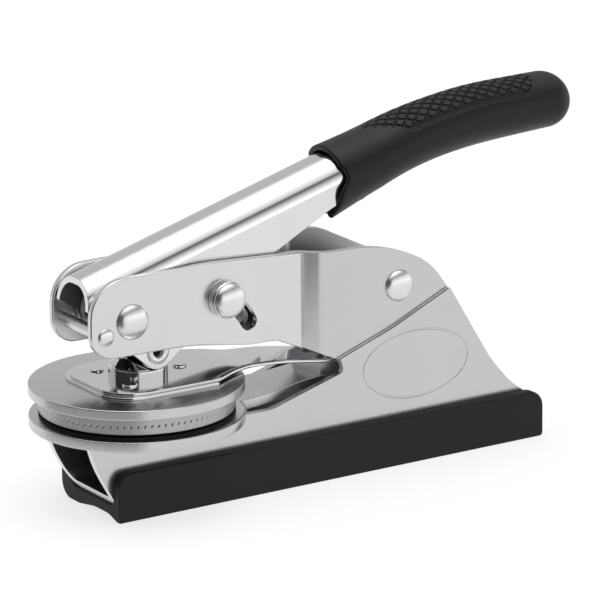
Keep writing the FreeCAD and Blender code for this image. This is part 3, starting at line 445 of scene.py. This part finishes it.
def turned_finish(name, color, roughness, pitch, depth):
    """Turned metal: rings stacked up the rim, one each pitch, broken up by a little noise."""
    made, tree, shader, where = shaded(name, color, 1, roughness)
    rings = wire(tree, "ShaderNodeTexWave", Vector=where, Scale=1 / (pitch * 3.2), Distortion=0.6)
    rings.wave_type = "BANDS"
    rings.bands_direction = "Z"
    grit = wire(tree, "ShaderNodeTexNoise", Vector=where, Scale=2400.0, Detail=2.0)
    both = mixed(tree, 0.45, rings.outputs["Fac"], grit.outputs["Fac"])
    tinted(tree, shader, color, spread(tree, grit.outputs["Fac"], 0, 1), 0.05)
    glossed(tree, shader, both, roughness * 0.8, roughness * 1.2)
    bumped(tree, shader, both, depth)
    return made


rim = turned_finish("turned_nickel", NICKEL, 0.26, 0.16 * MM, 0.008 * MM)
lower_plate = soft_edged("lower_plate", "lower_die_plate", PLATE_EDGE, rim, "root", "nickel_bright")
other_finish(lower_plate, satin, np.abs(face_shape(lower_plate)[1][:, 2]) > LEVEL_FACING)

# --- Counter die -----------------------------------------------------------------------------
# A thin dark disc of hard pressboard bonded to the lower plate. It takes the relief.
PRESSBOARD = (0.012, 0.012, 0.013, 1)

board = moulded("dark_pressboard", PRESSBOARD, 0.7, 3200.0, 0.01 * MM)
painted("counter_die", board)

# --- Engraved die ----------------------------------------------------------------------------
# A thick steel disc, turned and left bright. A ring of short slanting ticks is rolled into its
# rim at half height.
DIE_STEEL = (0.40, 0.40, 0.41, 1)
TICKS = 90
TICK_DEPTH = 0.26 * MM
TICK_HALF = 0.20 * MM
TICK_REACH = 0.42 * MM
TICK_SLANT = 0.55
TICK_PLACE = 0.47
DIE_COLUMNS = TICKS * 11
DIE_EDGE = 0.15 * MM


def ring_faces(rows, columns):
    """Four-sided faces of a tube of points: row after row, each row closed on itself."""
    row, column = np.meshgrid(np.arange(rows - 1), np.arange(columns), indexing="ij")
    onward = (column + 1) % columns
    return np.stack(
        (
            row * columns + column,
            row * columns + onward,
            (row + 1) * columns + onward,
            (row + 1) * columns + column,
        ),
        axis=-1,
    ).reshape(-1, 4)


def tube_mesh(name, points, sharp=35):
    """A mesh from rows of points, each row a closed ring, with a flat face over each end."""
    rows, columns = points.shape[:2]
    faces = ring_faces(rows, columns).tolist()
    last = (rows - 1) * columns
    faces.append(list(range(columns - 1, -1, -1)))
    faces.append(list(range(last, last + columns)))
    mesh = bpy.data.meshes.new(name)
    mesh.from_pydata(points.reshape(-1, 3).tolist(), [], faces)
    mesh.shade_smooth()
    mesh.set_sharp_from_angle(angle=math.radians(sharp))
    return mesh


die_low, die_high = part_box("upper_die")
die_centre = (die_low + die_high) / 2
die_radius = (die_high.x - die_low.x) / 2


def rim_levels(low, high, edge):
    """Distances in from the rim and heights of a disc's side: rounded edges by quarter circles,
    and even levels between them."""
    turn = np.linspace(0, math.pi / 2, 5)
    inset = edge * (1 - np.sin(turn))
    rise = edge * (1 - np.cos(turn))
    between = np.linspace(low + edge, high - edge, 29)[1:-1]
    return (
        np.concatenate((inset, np.zeros(len(between)), inset[::-1])),
        np.concatenate((low + rise, between, high - rise[::-1])),
    )


def round_rows(middle, radius, around, level):
    """Points at these radii, angles and heights about an upright axis."""
    return np.stack(
        (middle.x + radius * np.cos(around), middle.y + radius * np.sin(around), level), axis=-1
    )


def ticked_rim():
    """Points of the die's side. Around the rim, each slanting tick is a smooth notch: its depth
    falls off with the distance from the tick's middle line and towards its two ends."""
    inset, height = rim_levels(die_low.z, die_high.z, DIE_EDGE)
    angle = np.arange(DIE_COLUMNS) * 2 * math.pi / DIE_COLUMNS
    around, level = np.meshgrid(angle, height)
    rise = level - (die_low.z + TICK_PLACE * (die_high.z - die_low.z))
    pitch = 2 * math.pi * die_radius / TICKS
    along = (around * die_radius - TICK_SLANT * rise + pitch / 2) % pitch - pitch / 2
    across = np.clip(1 - (along / TICK_HALF) ** 2, 0, 1)
    ends = np.clip(1 - (rise / TICK_REACH) ** 4, 0, 1)
    radius = die_radius - inset[:, None] - TICK_DEPTH * across * ends
    return round_rows(die_centre, radius, around, level)


die_finish = turned_finish("turned_die_steel", DIE_STEEL, 0.34, 0.12 * MM, 0.006 * MM)
dressed(
    "engraved_die",
    tube_mesh("engraved_die", ticked_rim()),
    die_finish,
    "upper_die_body",
    "die_steel",
    "upper_die",
)

# --- Upper die plate -------------------------------------------------------------------------
# A flat round plate over the die, faced and plated, with a rounded upper and lower edge.
plate_low, plate_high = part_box("upper_die_plate")
PLATE_ROUND = 0.3 * MM


def plain_rim(low, high, edge, columns=288):
    """Points of a plain disc's side: its profile carried round the disc's own axis."""
    inset, height = rim_levels(low.z, high.z, edge)
    angle = np.arange(columns) * 2 * math.pi / columns
    around, level = np.meshgrid(angle, height)
    radius = (high.x - low.x) / 2 - inset[:, None]
    return round_rows((low + high) / 2, radius, around, level)


dressed(
    "upper_plate",
    tube_mesh("upper_plate", plain_rim(plate_low, plate_high, PLATE_ROUND)),
    rim,
    "upper_die_body",
    "nickel_bright",
    "upper_die_plate",
)

# --- Strips and their rivets -----------------------------------------------------------------
# Two sheet strips lie on the upper plate, one on the other, and hold it to the leaf spring.
# They are blanked from bright spring strip, so they mirror what stands on them.
BRIGHT = (0.70, 0.695, 0.71, 1)
STRIP_EDGE = 0.16 * MM

mirror = plated("bright_nickel", BRIGHT, 0.09, streak=3.0, ripple=0.0001)
for node, name in (("lower_strip", "under_strip"), ("upper_strip", "top_strip")):
    soft_edged(name, node, STRIP_EDGE, mirror, "upper_die_body", "nickel_bright")
painted("strip_rivets", mirror)

# --- Pressure button -------------------------------------------------------------------------
# Turned steel button with a blunt cone, plated bright. The roller's seat is ground across it and
# is open to the rear.
button_low, button_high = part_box("pressure_button")
BUTTON_RADIUS = 7.75 * MM
BUTTON_SEAT = 2.62 * MM
BUTTON_EDGE = 0.30 * MM
CONE_TOP = 3.49 * MM
CONE_STEP = 0.1 * MM
SEAT_ROUND = 4.7 * MM
SEAT_START = -52.50 * MM
BUTTON_ROWS = (6, 6, 70)
BUTTON_COLUMNS = 240


def button_surface():
    """Rings of points up the side, round its edge and in over the cone. The height over each
    point is the lower of the cone and the seat: level, and risen along a circle to the front."""
    level = button_low.z + BUTTON_SEAT
    up, bend, over = BUTTON_ROWS
    turn = np.linspace(0, math.pi / 2, bend)[1:]
    inward = np.linspace(BUTTON_RADIUS - BUTTON_EDGE, 0.02 * MM, over)[1:]
    rounding = BUTTON_RADIUS - BUTTON_EDGE * (1 - np.cos(turn))
    radius = np.concatenate((np.full(up, BUTTON_RADIUS), rounding, inward))
    cone = np.interp(inward, (CONE_TOP, BUTTON_RADIUS), (button_high.z, level + CONE_STEP))
    side = np.linspace(button_low.z, level - BUTTON_EDGE, up)
    height = np.concatenate((side, level - BUTTON_EDGE * (1 - np.sin(turn)), cone))
    around = np.arange(BUTTON_COLUMNS) * 2 * math.pi / BUTTON_COLUMNS
    x = (button_low.x + button_high.x) / 2 + radius[:, None] * np.cos(around)
    y = radius[:, None] * np.sin(around)
    ahead = np.clip((SEAT_START - x) / SEAT_ROUND, 0, 1)
    seat = level + SEAT_ROUND * (1 - np.sqrt(1 - ahead**2)) + (ahead >= 1) * SEAT_ROUND
    return np.stack((x, y, np.minimum(height[:, None], seat)), axis=-1)


dressed(
    "turned_button",
    tube_mesh("turned_button", button_surface(), 24),
    mirror,
    "upper_die_body",
    "nickel_bright",
    "pressure_button",
)

# --- Leaf spring -----------------------------------------------------------------------------
# A tapered leaf of bright spring steel. It runs level behind the strips and dips to the clamp in
# the throat. On the machine it bends as the upper die goes down; this mesh keeps one shape.
leaf_low, leaf_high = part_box("leaf_spring")
LEAF_THICK = 1.0 * MM
LEAF_ROWS = 160
LEAF_COLUMNS = 25
LEAF_TAPER = ((0.0, 16.0), (5.4, 12.6), (15.0, 8.0), (60.0, 8.0))
LEAF_BEND = (
    (0.0, 0.0),
    (10.0, 0.0),
    (16.0, 0.22),
    (21.0, 0.30),
    (26.0, 0.43),
    (31.5, 0.68),
    (37.5, 1.0),
    (60.0, 1.0),
)


def eased(place, corners, reach):
    """A line through corner points with its corners rounded: the mean of the plain line over
    a short reach to each side."""
    xs, ys = np.array(corners).T
    shifts = np.linspace(-reach, reach, 21)
    return np.mean([np.interp(place + shift, xs, ys) for shift in shifts], axis=0)


def leaf_surface():
    """Closed rings of points along the leaf. The top follows the eased bend, and each ring goes
    round a flat section with rounded sides as wide as the eased taper."""
    along = np.linspace(0, (leaf_high.x - leaf_low.x) / MM, LEAF_ROWS)
    half = eased(along, LEAF_TAPER, 2.2) * MM
    drop = (leaf_high.z - leaf_low.z) - LEAF_THICK
    level = leaf_high.z - LEAF_THICK / 2 - eased(along, LEAF_BEND, 3.0) * drop
    turn = np.linspace(0, math.pi, 7)
    side = np.cos(turn - math.pi / 2)
    rise = np.sin(turn - math.pi / 2)
    flat = np.linspace(1, -1, LEAF_COLUMNS)[1:-1]
    across = np.concatenate((np.ones(7), flat, -np.ones(7), -flat))
    bulge = np.concatenate((side, np.zeros(len(flat)), -side, np.zeros(len(flat))))
    height = np.concatenate((rise, np.ones(len(flat)), -rise, -np.ones(len(flat))))
    soft = LEAF_THICK / 2
    wide = across[None, :] * (half[:, None] - soft) + bulge[None, :] * soft
    tall = level[:, None] + height[None, :] * soft
    place = np.broadcast_to(leaf_low.x + along[:, None] * MM, wide.shape)
    return np.stack((place, wide, tall), axis=-1)


leaf = dressed(
    "bent_leaf",
    tube_mesh("bent_leaf", leaf_surface(), 60),
    mirror,
    None,
    "spring_steel",
    "leaf_spring",
)
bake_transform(leaf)

# --- Link plates -----------------------------------------------------------------------------
# Two rounded plates outside the lever. They carry the pivot rivet, and the stop stud slides in
# their curved slots. Blanked from 2 mm sheet, rounded by tumbling and plated satin.
LINK_EDGE = 0.42 * MM
LINK_NICKEL = (0.640, 0.636, 0.652, 1)

link_finish = plated("link_nickel", LINK_NICKEL, 0.24, streak=6.0)
for node, name in (("near_link_plate", "near_link"), ("far_link_plate", "far_link")):
    soft_edged(name, node, LINK_EDGE, link_finish, "root", "nickel_plated")

# --- Cross rivets ----------------------------------------------------------------------------
# Pivot rivet, rear rivet, the thin stop bar with its sleeve, and the stop stud: cold-headed steel
# with domed heads, barrelled and plated. The heads keep faint dents from the header.


def lathe(radius, place, centre, columns=96):
    """Rows of points: a profile of radii and places along Y, carried round an axis along Y."""
    turn = np.arange(columns) * 2 * math.pi / columns
    return np.stack(
        (
            centre.x + radius[:, None] * np.cos(turn),
            np.broadcast_to(place[:, None], (len(place), columns)),
            centre.z + radius[:, None] * np.sin(turn),
        ),
        axis=-1,
    )


def mirrored_lathe(radius, place, centre):
    """A profile from the near end to the middle, and back out to the far end."""
    return lathe(
        np.concatenate((radius, radius[::-1])), np.concatenate((-place, place[::-1])), centre
    )


def headed_bar(node, seat, shank):
    """A bar with a head on each side. A head is half an ellipse carried round the bar: its radius
    follows the sine of a turn and its height the cosine."""
    low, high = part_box(node)
    turn = np.linspace(0.02, math.pi / 2, 22)
    radius = np.concatenate(((high.x - low.x) / 2 * np.sin(turn), [shank]))
    rise = np.concatenate((seat + (high.y - seat) * np.cos(turn), [seat]))
    return mirrored_lathe(radius, rise, (low + high) / 2)


# Node, new name, body, distance of the head's seat from the middle plane, radius of the bar.
HEADED_BARS = (
    ("pivot_rivet", "pivot_pin", "root", 10.8 * MM, 3.0 * MM),
    ("rear_rivet", "rear_pin", "root", 10.8 * MM, 2.5 * MM),
    ("stop_bar", "stop_pin", "root", 10.8 * MM, 1.2 * MM),
    ("stop_stud", "stud_pin", "stop_stud_body", 13.5 * MM, 2.0 * MM),
)

domed = dented("headed_nickel", BRIGHT, 0.30, 0.02 * MM)
for node, name, body, seat, shank in HEADED_BARS:
    bar = tube_mesh(name, headed_bar(node, seat, shank), 50)
    dressed(name, bar, domed, body, "nickel_bright", node)
painted("stop_sleeve", domed)

# --- Lever -----------------------------------------------------------------------------------
# An inverted U of 1.6 mm sheet, folded round its top, with lobes for the roller pin. It is
# polished and plated bright, with polishing lines along its length.
LEVER_EDGE = 0.16 * MM
LEVER_INSIDE = 6.56 * MM
# Darker colour of the faces inside the fold: painted shade.
FOLD_SHADE = (0.20, 0.20, 0.205, 1)
DOWN_FACING = -0.5

polished = plated("polished_nickel", BRIGHT, 0.11, streak=14.0, ripple=0.0002)
lever = soft_edged(
    "folded_lever", "handle_channel", LEVER_EDGE, polished, "handle", "nickel_bright", sharp=24
)
# Inside the fold the lever gets a darker colour, painted shade, and a rougher finish.
fold_shade = plated("painted_fold_shade", FOLD_SHADE, 0.5, ripple=0.001)
middle, facing = face_shape(lever)
inward = (facing[:, 1] * middle[:, 1] < 0) | (facing[:, 2] < DOWN_FACING)
other_finish(lever, fold_shade, inward & (np.abs(middle[:, 1]) < LEVER_INSIDE))

# --- Roller and its pin ----------------------------------------------------------------------
# A hardened roller turns on a hollow pin that is flared into the lobes of the lever. The pin is
# turned from bright steel, and its flare is rolled over with a domed punch.
# Radius and distance from the middle plane, in millimetres, from the bore out over the flare.
PIN_FLARE = (
    (1.10, 0.0),
    (1.10, 7.2),
    (1.22, 7.75),
    (1.50, 8.12),
    (1.95, 8.32),
    (2.4, 8.38),
    (2.78, 8.30),
    (2.90, 8.02),
    (3.02, 8.02),
    (3.08, 8.22),
    (3.20, 8.16),
    (3.20, 8.0),
)

pin_low, pin_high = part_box("roller_pin")
pin_radius, pin_place = np.array(PIN_FLARE).T * MM
pin_mesh = tube_mesh(
    "flared_pin", mirrored_lathe(pin_radius, pin_place, (pin_low + pin_high) / 2), 40
)
dressed("flared_pin", pin_mesh, domed, "handle", "nickel_bright", "roller_pin")
painted("roller", mirror)

# --- Grip ------------------------------------------------------------------------------------
# A sleeve of black plastic moulded over the lever's end. It swells towards its open mouth,
# ends in a rounded tip, and has a sunk patch of diamond pads over its top.
grip_low, grip_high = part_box("grip")
GRIP_BLACK = (0.0064, 0.0064, 0.0068, 1)
GRIP_LENGTH = 74.8 * MM
GRIP_TIP = 7.4 * MM
GRIP_WALL = 1.6 * MM
GRIP_RECESS = 6.0 * MM
MOUTH_HEIGHT = 76.84 * MM
# Rise of the centre line, its tilt in degrees, half width and half height, at even steps.
GRIP_STATIONS = np.array(
    (
        (0.0, 11.0, 10.3, 9.6),
        (4.0, 16.0, 9.9, 8.3),
        (7.5, 15.0, 9.5, 7.95),
        (9.8, 9.0, 9.2, 7.9),
        (11.2, 5.0, 9.0, 7.95),
        (11.8, 2.5, 8.9, 7.8),
        (12.2, 0.0, 8.8, 7.6),
    )
)
# How far the mouth's rim stands forward, by height over its middle, in millimetres: a chin below
# and a rim set back above.
RIM_SWEEP = (
    (-9.6, 1.6),
    (-9.0, 3.6),
    (-7.6, 5.6),
    (-6.4, 4.8),
    (-4.2, 3.5),
    (-2.2, 2.9),
    (-0.4, 1.9),
    (1.2, 0.5),
    (2.8, -0.4),
    (4.6, -0.2),
    (6.0, 0.3),
    (10.6, 0.5),
)
SWEEP_REACH = 0.95
# The patch and its pads, in millimetres along the grip and round it.
PATCH_HALF = 9.3
PATCH_FRONT = 12.0
PATCH_REAR = 64.2
PATCH_SLOPE = 0.78
PATCH_ROUND = 6.5
PATCH_WALL = 0.45
PAD_PITCH = (3.65, 3.25)
PAD_SLIT = 0.13
PAD_FLANK = 0.26
PAD_LIMIT = 7.9
PAD_FADE = 0.5
PATCH_DEPTH = 0.55 * MM


def station_curves(place):
    """Each column of the stations as a natural cubic spline, read at places counted in steps."""
    count = len(GRIP_STATIONS)
    matrix = np.eye(count)
    matrix[1:-1] = (
        np.eye(count)[1:-1] * 4 + np.eye(count, k=1)[1:-1] + np.eye(count, k=-1)[1:-1]
    )
    bend = np.zeros_like(GRIP_STATIONS)
    bend[1:-1] = 6 * (GRIP_STATIONS[:-2] - 2 * GRIP_STATIONS[1:-1] + GRIP_STATIONS[2:])
    moment = np.linalg.solve(matrix, bend)
    index = np.clip(place.astype(int), 0, count - 2)
    part = (place - index)[:, None]
    rest = 1 - part
    return (
        GRIP_STATIONS[index] * rest
        + GRIP_STATIONS[index + 1] * part
        + (rest**3 - rest) * moment[index] / 6
        + (part**3 - part) * moment[index + 1] / 6
    )


def patch_relief(run, girth):
    """Height of the knurled patch over the smooth grip. Run is millimetres from the mouth along
    the top and girth millimetres round from the top. The patch is sunk inside its border; pads
    rise from it again between two families of slanting slits, and stop short of the border."""
    off = np.abs(girth)
    opening = np.clip((run - PATCH_FRONT) * PATCH_SLOPE, 0, None)
    past = np.clip((run - PATCH_REAR) / PATCH_ROUND + 1, 0, 1)
    closing = PATCH_HALF * np.sqrt(1 - past**2)
    border = np.minimum(np.minimum(opening, PATCH_HALF), closing)
    inside = np.clip((border - off) / PATCH_WALL, 0, 1)
    inside = inside * inside * (3 - 2 * inside)
    first = run / PAD_PITCH[0] + girth / PAD_PITCH[1]
    second = run / PAD_PITCH[0] - girth / PAD_PITCH[1]
    spacing = 1 / math.hypot(1 / PAD_PITCH[0], 1 / PAD_PITCH[1])
    off_first, off_second = (np.abs((family + 0.5) % 1 - 0.5) for family in (first, second))
    off_line = np.minimum(off_first, off_second) * spacing
    pad = np.clip((off_line - PAD_SLIT) / PAD_FLANK, 0, 1)
    fade = np.clip((PAD_LIMIT - off) / PAD_FADE, 0, 1)
    pad = pad * pad * (3 - 2 * pad) * fade
    return -PATCH_DEPTH * inside * (1 - pad)


def grip_surface():
    """Closed rings of points from the floor of the mouth, out round its rim, along the outside
    and over the tip. Each outer ring is an oval across the tilted centre line; the patch is
    raised or sunk along the surface's own normal, found from neighbouring points."""
    count = len(GRIP_STATIONS) - 1
    mouth_x = grip_high.x - GRIP_LENGTH
    step = (GRIP_LENGTH - GRIP_TIP) / count
    run_fine = np.linspace(0, count, 2001)
    fine = station_curves(run_fine)
    length = np.concatenate(
        ([0], np.cumsum(np.hypot(np.diff(run_fine) * step / MM, np.diff(fine[:, 0]))))
    )
    run = np.concatenate(
        (np.linspace(0, PATCH_FRONT - 1, 16)[:-1], np.arange(PATCH_FRONT - 1, PATCH_REAR + 1, 0.16))
    )
    run = np.concatenate((run, np.linspace(run[-1] + 0.8, length[-1], 5)))
    place = np.interp(run, length, run_fine)
    rise, tilt, wide, tall = station_curves(place).T
    tip = np.linspace(0, math.pi / 2, 22)[1:] * np.linspace(0.999, 0.985, 21)
    x = np.concatenate((mouth_x + place * step, grip_high.x - GRIP_TIP + GRIP_TIP * np.sin(tip)))
    z = np.concatenate((MOUTH_HEIGHT + rise * MM, np.full(len(tip), MOUTH_HEIGHT + rise[-1] * MM)))
    tilt = np.radians(np.concatenate((tilt, np.zeros(len(tip)))))
    wide = np.concatenate((wide, wide[-1] * np.cos(tip))) * MM
    tall = np.concatenate((tall, tall[-1] * np.cos(tip))) * MM
    run = np.concatenate((run, np.full(len(tip), run[-1] + 99)))

    mean_wide, mean_tall = fine[:, 2].mean(), fine[:, 3].mean()
    turn_fine = np.linspace(0, 2, 801)
    arc = np.hypot(np.diff(mean_wide * np.sin(turn_fine)), np.diff(mean_tall * np.cos(turn_fine)))
    girth_fine = np.concatenate(([0], np.cumsum(arc)))
    girth = np.arange(-10.4, 10.41, 0.16)
    turn = np.sign(girth) * np.interp(np.abs(girth), girth_fine, turn_fine)
    under = np.linspace(turn[-1], 2 * math.pi - turn[-1], 46)[1:-1]
    turn = np.concatenate((turn, under))
    girth = np.concatenate((girth, np.full(len(under), 99.0)))

    across, up = np.sin(turn)[None, :], np.cos(turn)[None, :]

    def ring(x, z, tilt, wide, tall):
        """Points of upright ovals, each leaning back by its tilt."""
        return np.stack(
            (
                x[:, None] - np.sin(tilt)[:, None] * tall[:, None] * up,
                -wide[:, None] * across,
                z[:, None] + np.cos(tilt)[:, None] * tall[:, None] * up,
            ),
            axis=-1,
        )

    def swept(points, share):
        """Rings moved forward along the tilted axis by the rim's sweep times this share."""
        height = tall[0] * up[0] / MM
        heights, sweeps = np.array(RIM_SWEEP).T
        sweep = np.interp(height, heights, sweeps) * MM
        ahead = np.array((-math.cos(tilt[0]), 0, -math.sin(tilt[0])))
        return points + share[:, None, None] * sweep[None, :, None] * ahead

    share = np.zeros(len(x))
    share[: len(place)] = np.clip(1 - place / SWEEP_REACH, 0, 1)
    outer = swept(ring(x, z, tilt, wide, tall), share)
    along = np.gradient(outer, axis=0)
    around = np.roll(outer, -1, axis=1) - np.roll(outer, 1, axis=1)
    normal = np.cross(around, along)
    normal /= np.linalg.norm(normal, axis=-1, keepdims=True)
    middle = np.stack((x, np.zeros_like(x), z), axis=-1)[:, None, :]
    normal *= np.sign(np.sum(normal * (outer - middle), axis=-1, keepdims=True))
    outer = outer + normal * patch_relief(run[:, None], girth[None, :])[..., None]

    lip = np.linspace(math.pi, 0, 9)
    inward = GRIP_WALL / 2 * (1 + np.cos(lip))
    forward = GRIP_WALL / 2 * np.sin(lip)
    depth = np.concatenate((np.linspace(GRIP_RECESS, 0.3 * MM, 8), -forward * 0.5))
    shrink = np.concatenate((np.full(8, GRIP_WALL), GRIP_WALL - inward))
    lean = np.full(len(depth), tilt[0])
    inner = ring(
        mouth_x + depth * math.cos(tilt[0]),
        MOUTH_HEIGHT + depth * math.sin(tilt[0]),
        lean,
        wide[0] - shrink,
        tall[0] - shrink,
    )
    inner = swept(inner, np.clip(1 - depth / GRIP_RECESS, 0, 1))
    return np.concatenate((inner, outer[1:]))


grip_finish = moulded("black_moulding", GRIP_BLACK, 0.46, 2200.0, 0.008 * MM)
dressed(
    "moulded_grip",
    tube_mesh("moulded_grip", grip_surface(), 60),
    grip_finish,
    "handle",
    "grip_black",
    "grip",
)

# --- Stop stud and collars -------------------------------------------------------------------
# The stud slides in the curved slots with a finger collar on each side. Collars are turned and
# faced; the stud's ends are headed over them.
collar_finish = turned_finish("turned_collar", BRIGHT, 0.22, 0.2 * MM, 0.004 * MM)
painted("stud_collars", collar_finish)

# --- Return spring ---------------------------------------------------------------------------
# Round wire coiled about the pivot bush. One tail rests behind the stop bar and the other lies
# under the roof of the lever. On the machine that tail turns with the lever; this mesh keeps one
# shape.
WIRE_DIA = 1.1 * MM
COIL_RADIUS = 4.6 * MM
COIL_PITCH = WIRE_DIA + 0.15 * MM
COIL_TURNS = 4
FRONT_ANGLE = math.radians(167.0)
REAR_ANGLE = math.radians(125.0)
FRONT_TAIL = 7.6 * MM
REAR_TAIL = 19.7 * MM

pivot_low, pivot_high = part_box("pivot_rivet")
pivot = (pivot_low + pivot_high) / 2


def spring_line():
    """Centre line of the wire: a straight tail, even coils about the pivot, a straight tail.
    The coils start at the front angle and climb by one pitch a turn; a tail leaves each end
    along the coil's tangent."""
    turns = COIL_TURNS + (FRONT_ANGLE - REAR_ANGLE) / (2 * math.pi)
    share = np.linspace(0, 1, 190)
    angle = FRONT_ANGLE - share * turns * 2 * math.pi
    side = (share - 0.5) * turns * COIL_PITCH
    coil = np.stack(
        (pivot.x + COIL_RADIUS * np.cos(angle), side, pivot.z + COIL_RADIUS * np.sin(angle)),
        axis=-1,
    )
    start = (coil[0] - coil[1]) / np.linalg.norm(coil[0] - coil[1])
    finish = (coil[-1] - coil[-2]) / np.linalg.norm(coil[-1] - coil[-2])
    front = coil[0] + start * np.linspace(FRONT_TAIL, 0, 8)[:-1, None]
    back = coil[-1] + finish * np.linspace(0, REAR_TAIL, 16)[1:, None]
    return np.concatenate((front, coil, back))


def wire_surface(line, radius, columns=14):
    """Rings of points round a line: each ring lies across the line's direction, turned from the
    sideways axis so that neighbours never twist."""
    ahead = np.gradient(line, axis=0)
    ahead /= np.linalg.norm(ahead, axis=1, keepdims=True)
    sideways = np.array((0.0, 1.0, 0.0)) - ahead * ahead[:, 1:2]
    sideways /= np.linalg.norm(sideways, axis=1, keepdims=True)
    upright = np.cross(ahead, sideways)
    turn = np.arange(columns) * 2 * math.pi / columns
    return (
        line[:, None, :]
        + radius * np.cos(turn)[None, :, None] * sideways[:, None, :]
        + radius * np.sin(turn)[None, :, None] * upright[:, None, :]
    )


spring_finish = plated("drawn_wire", BRIGHT, 0.22, streak=1.0, ripple=0.001)
spring = dressed(
    "coiled_spring",
    tube_mesh("coiled_spring", wire_surface(spring_line(), WIRE_DIA / 2), 50),
    spring_finish,
    None,
    "spring_steel",
    "return_spring",
)
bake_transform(spring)
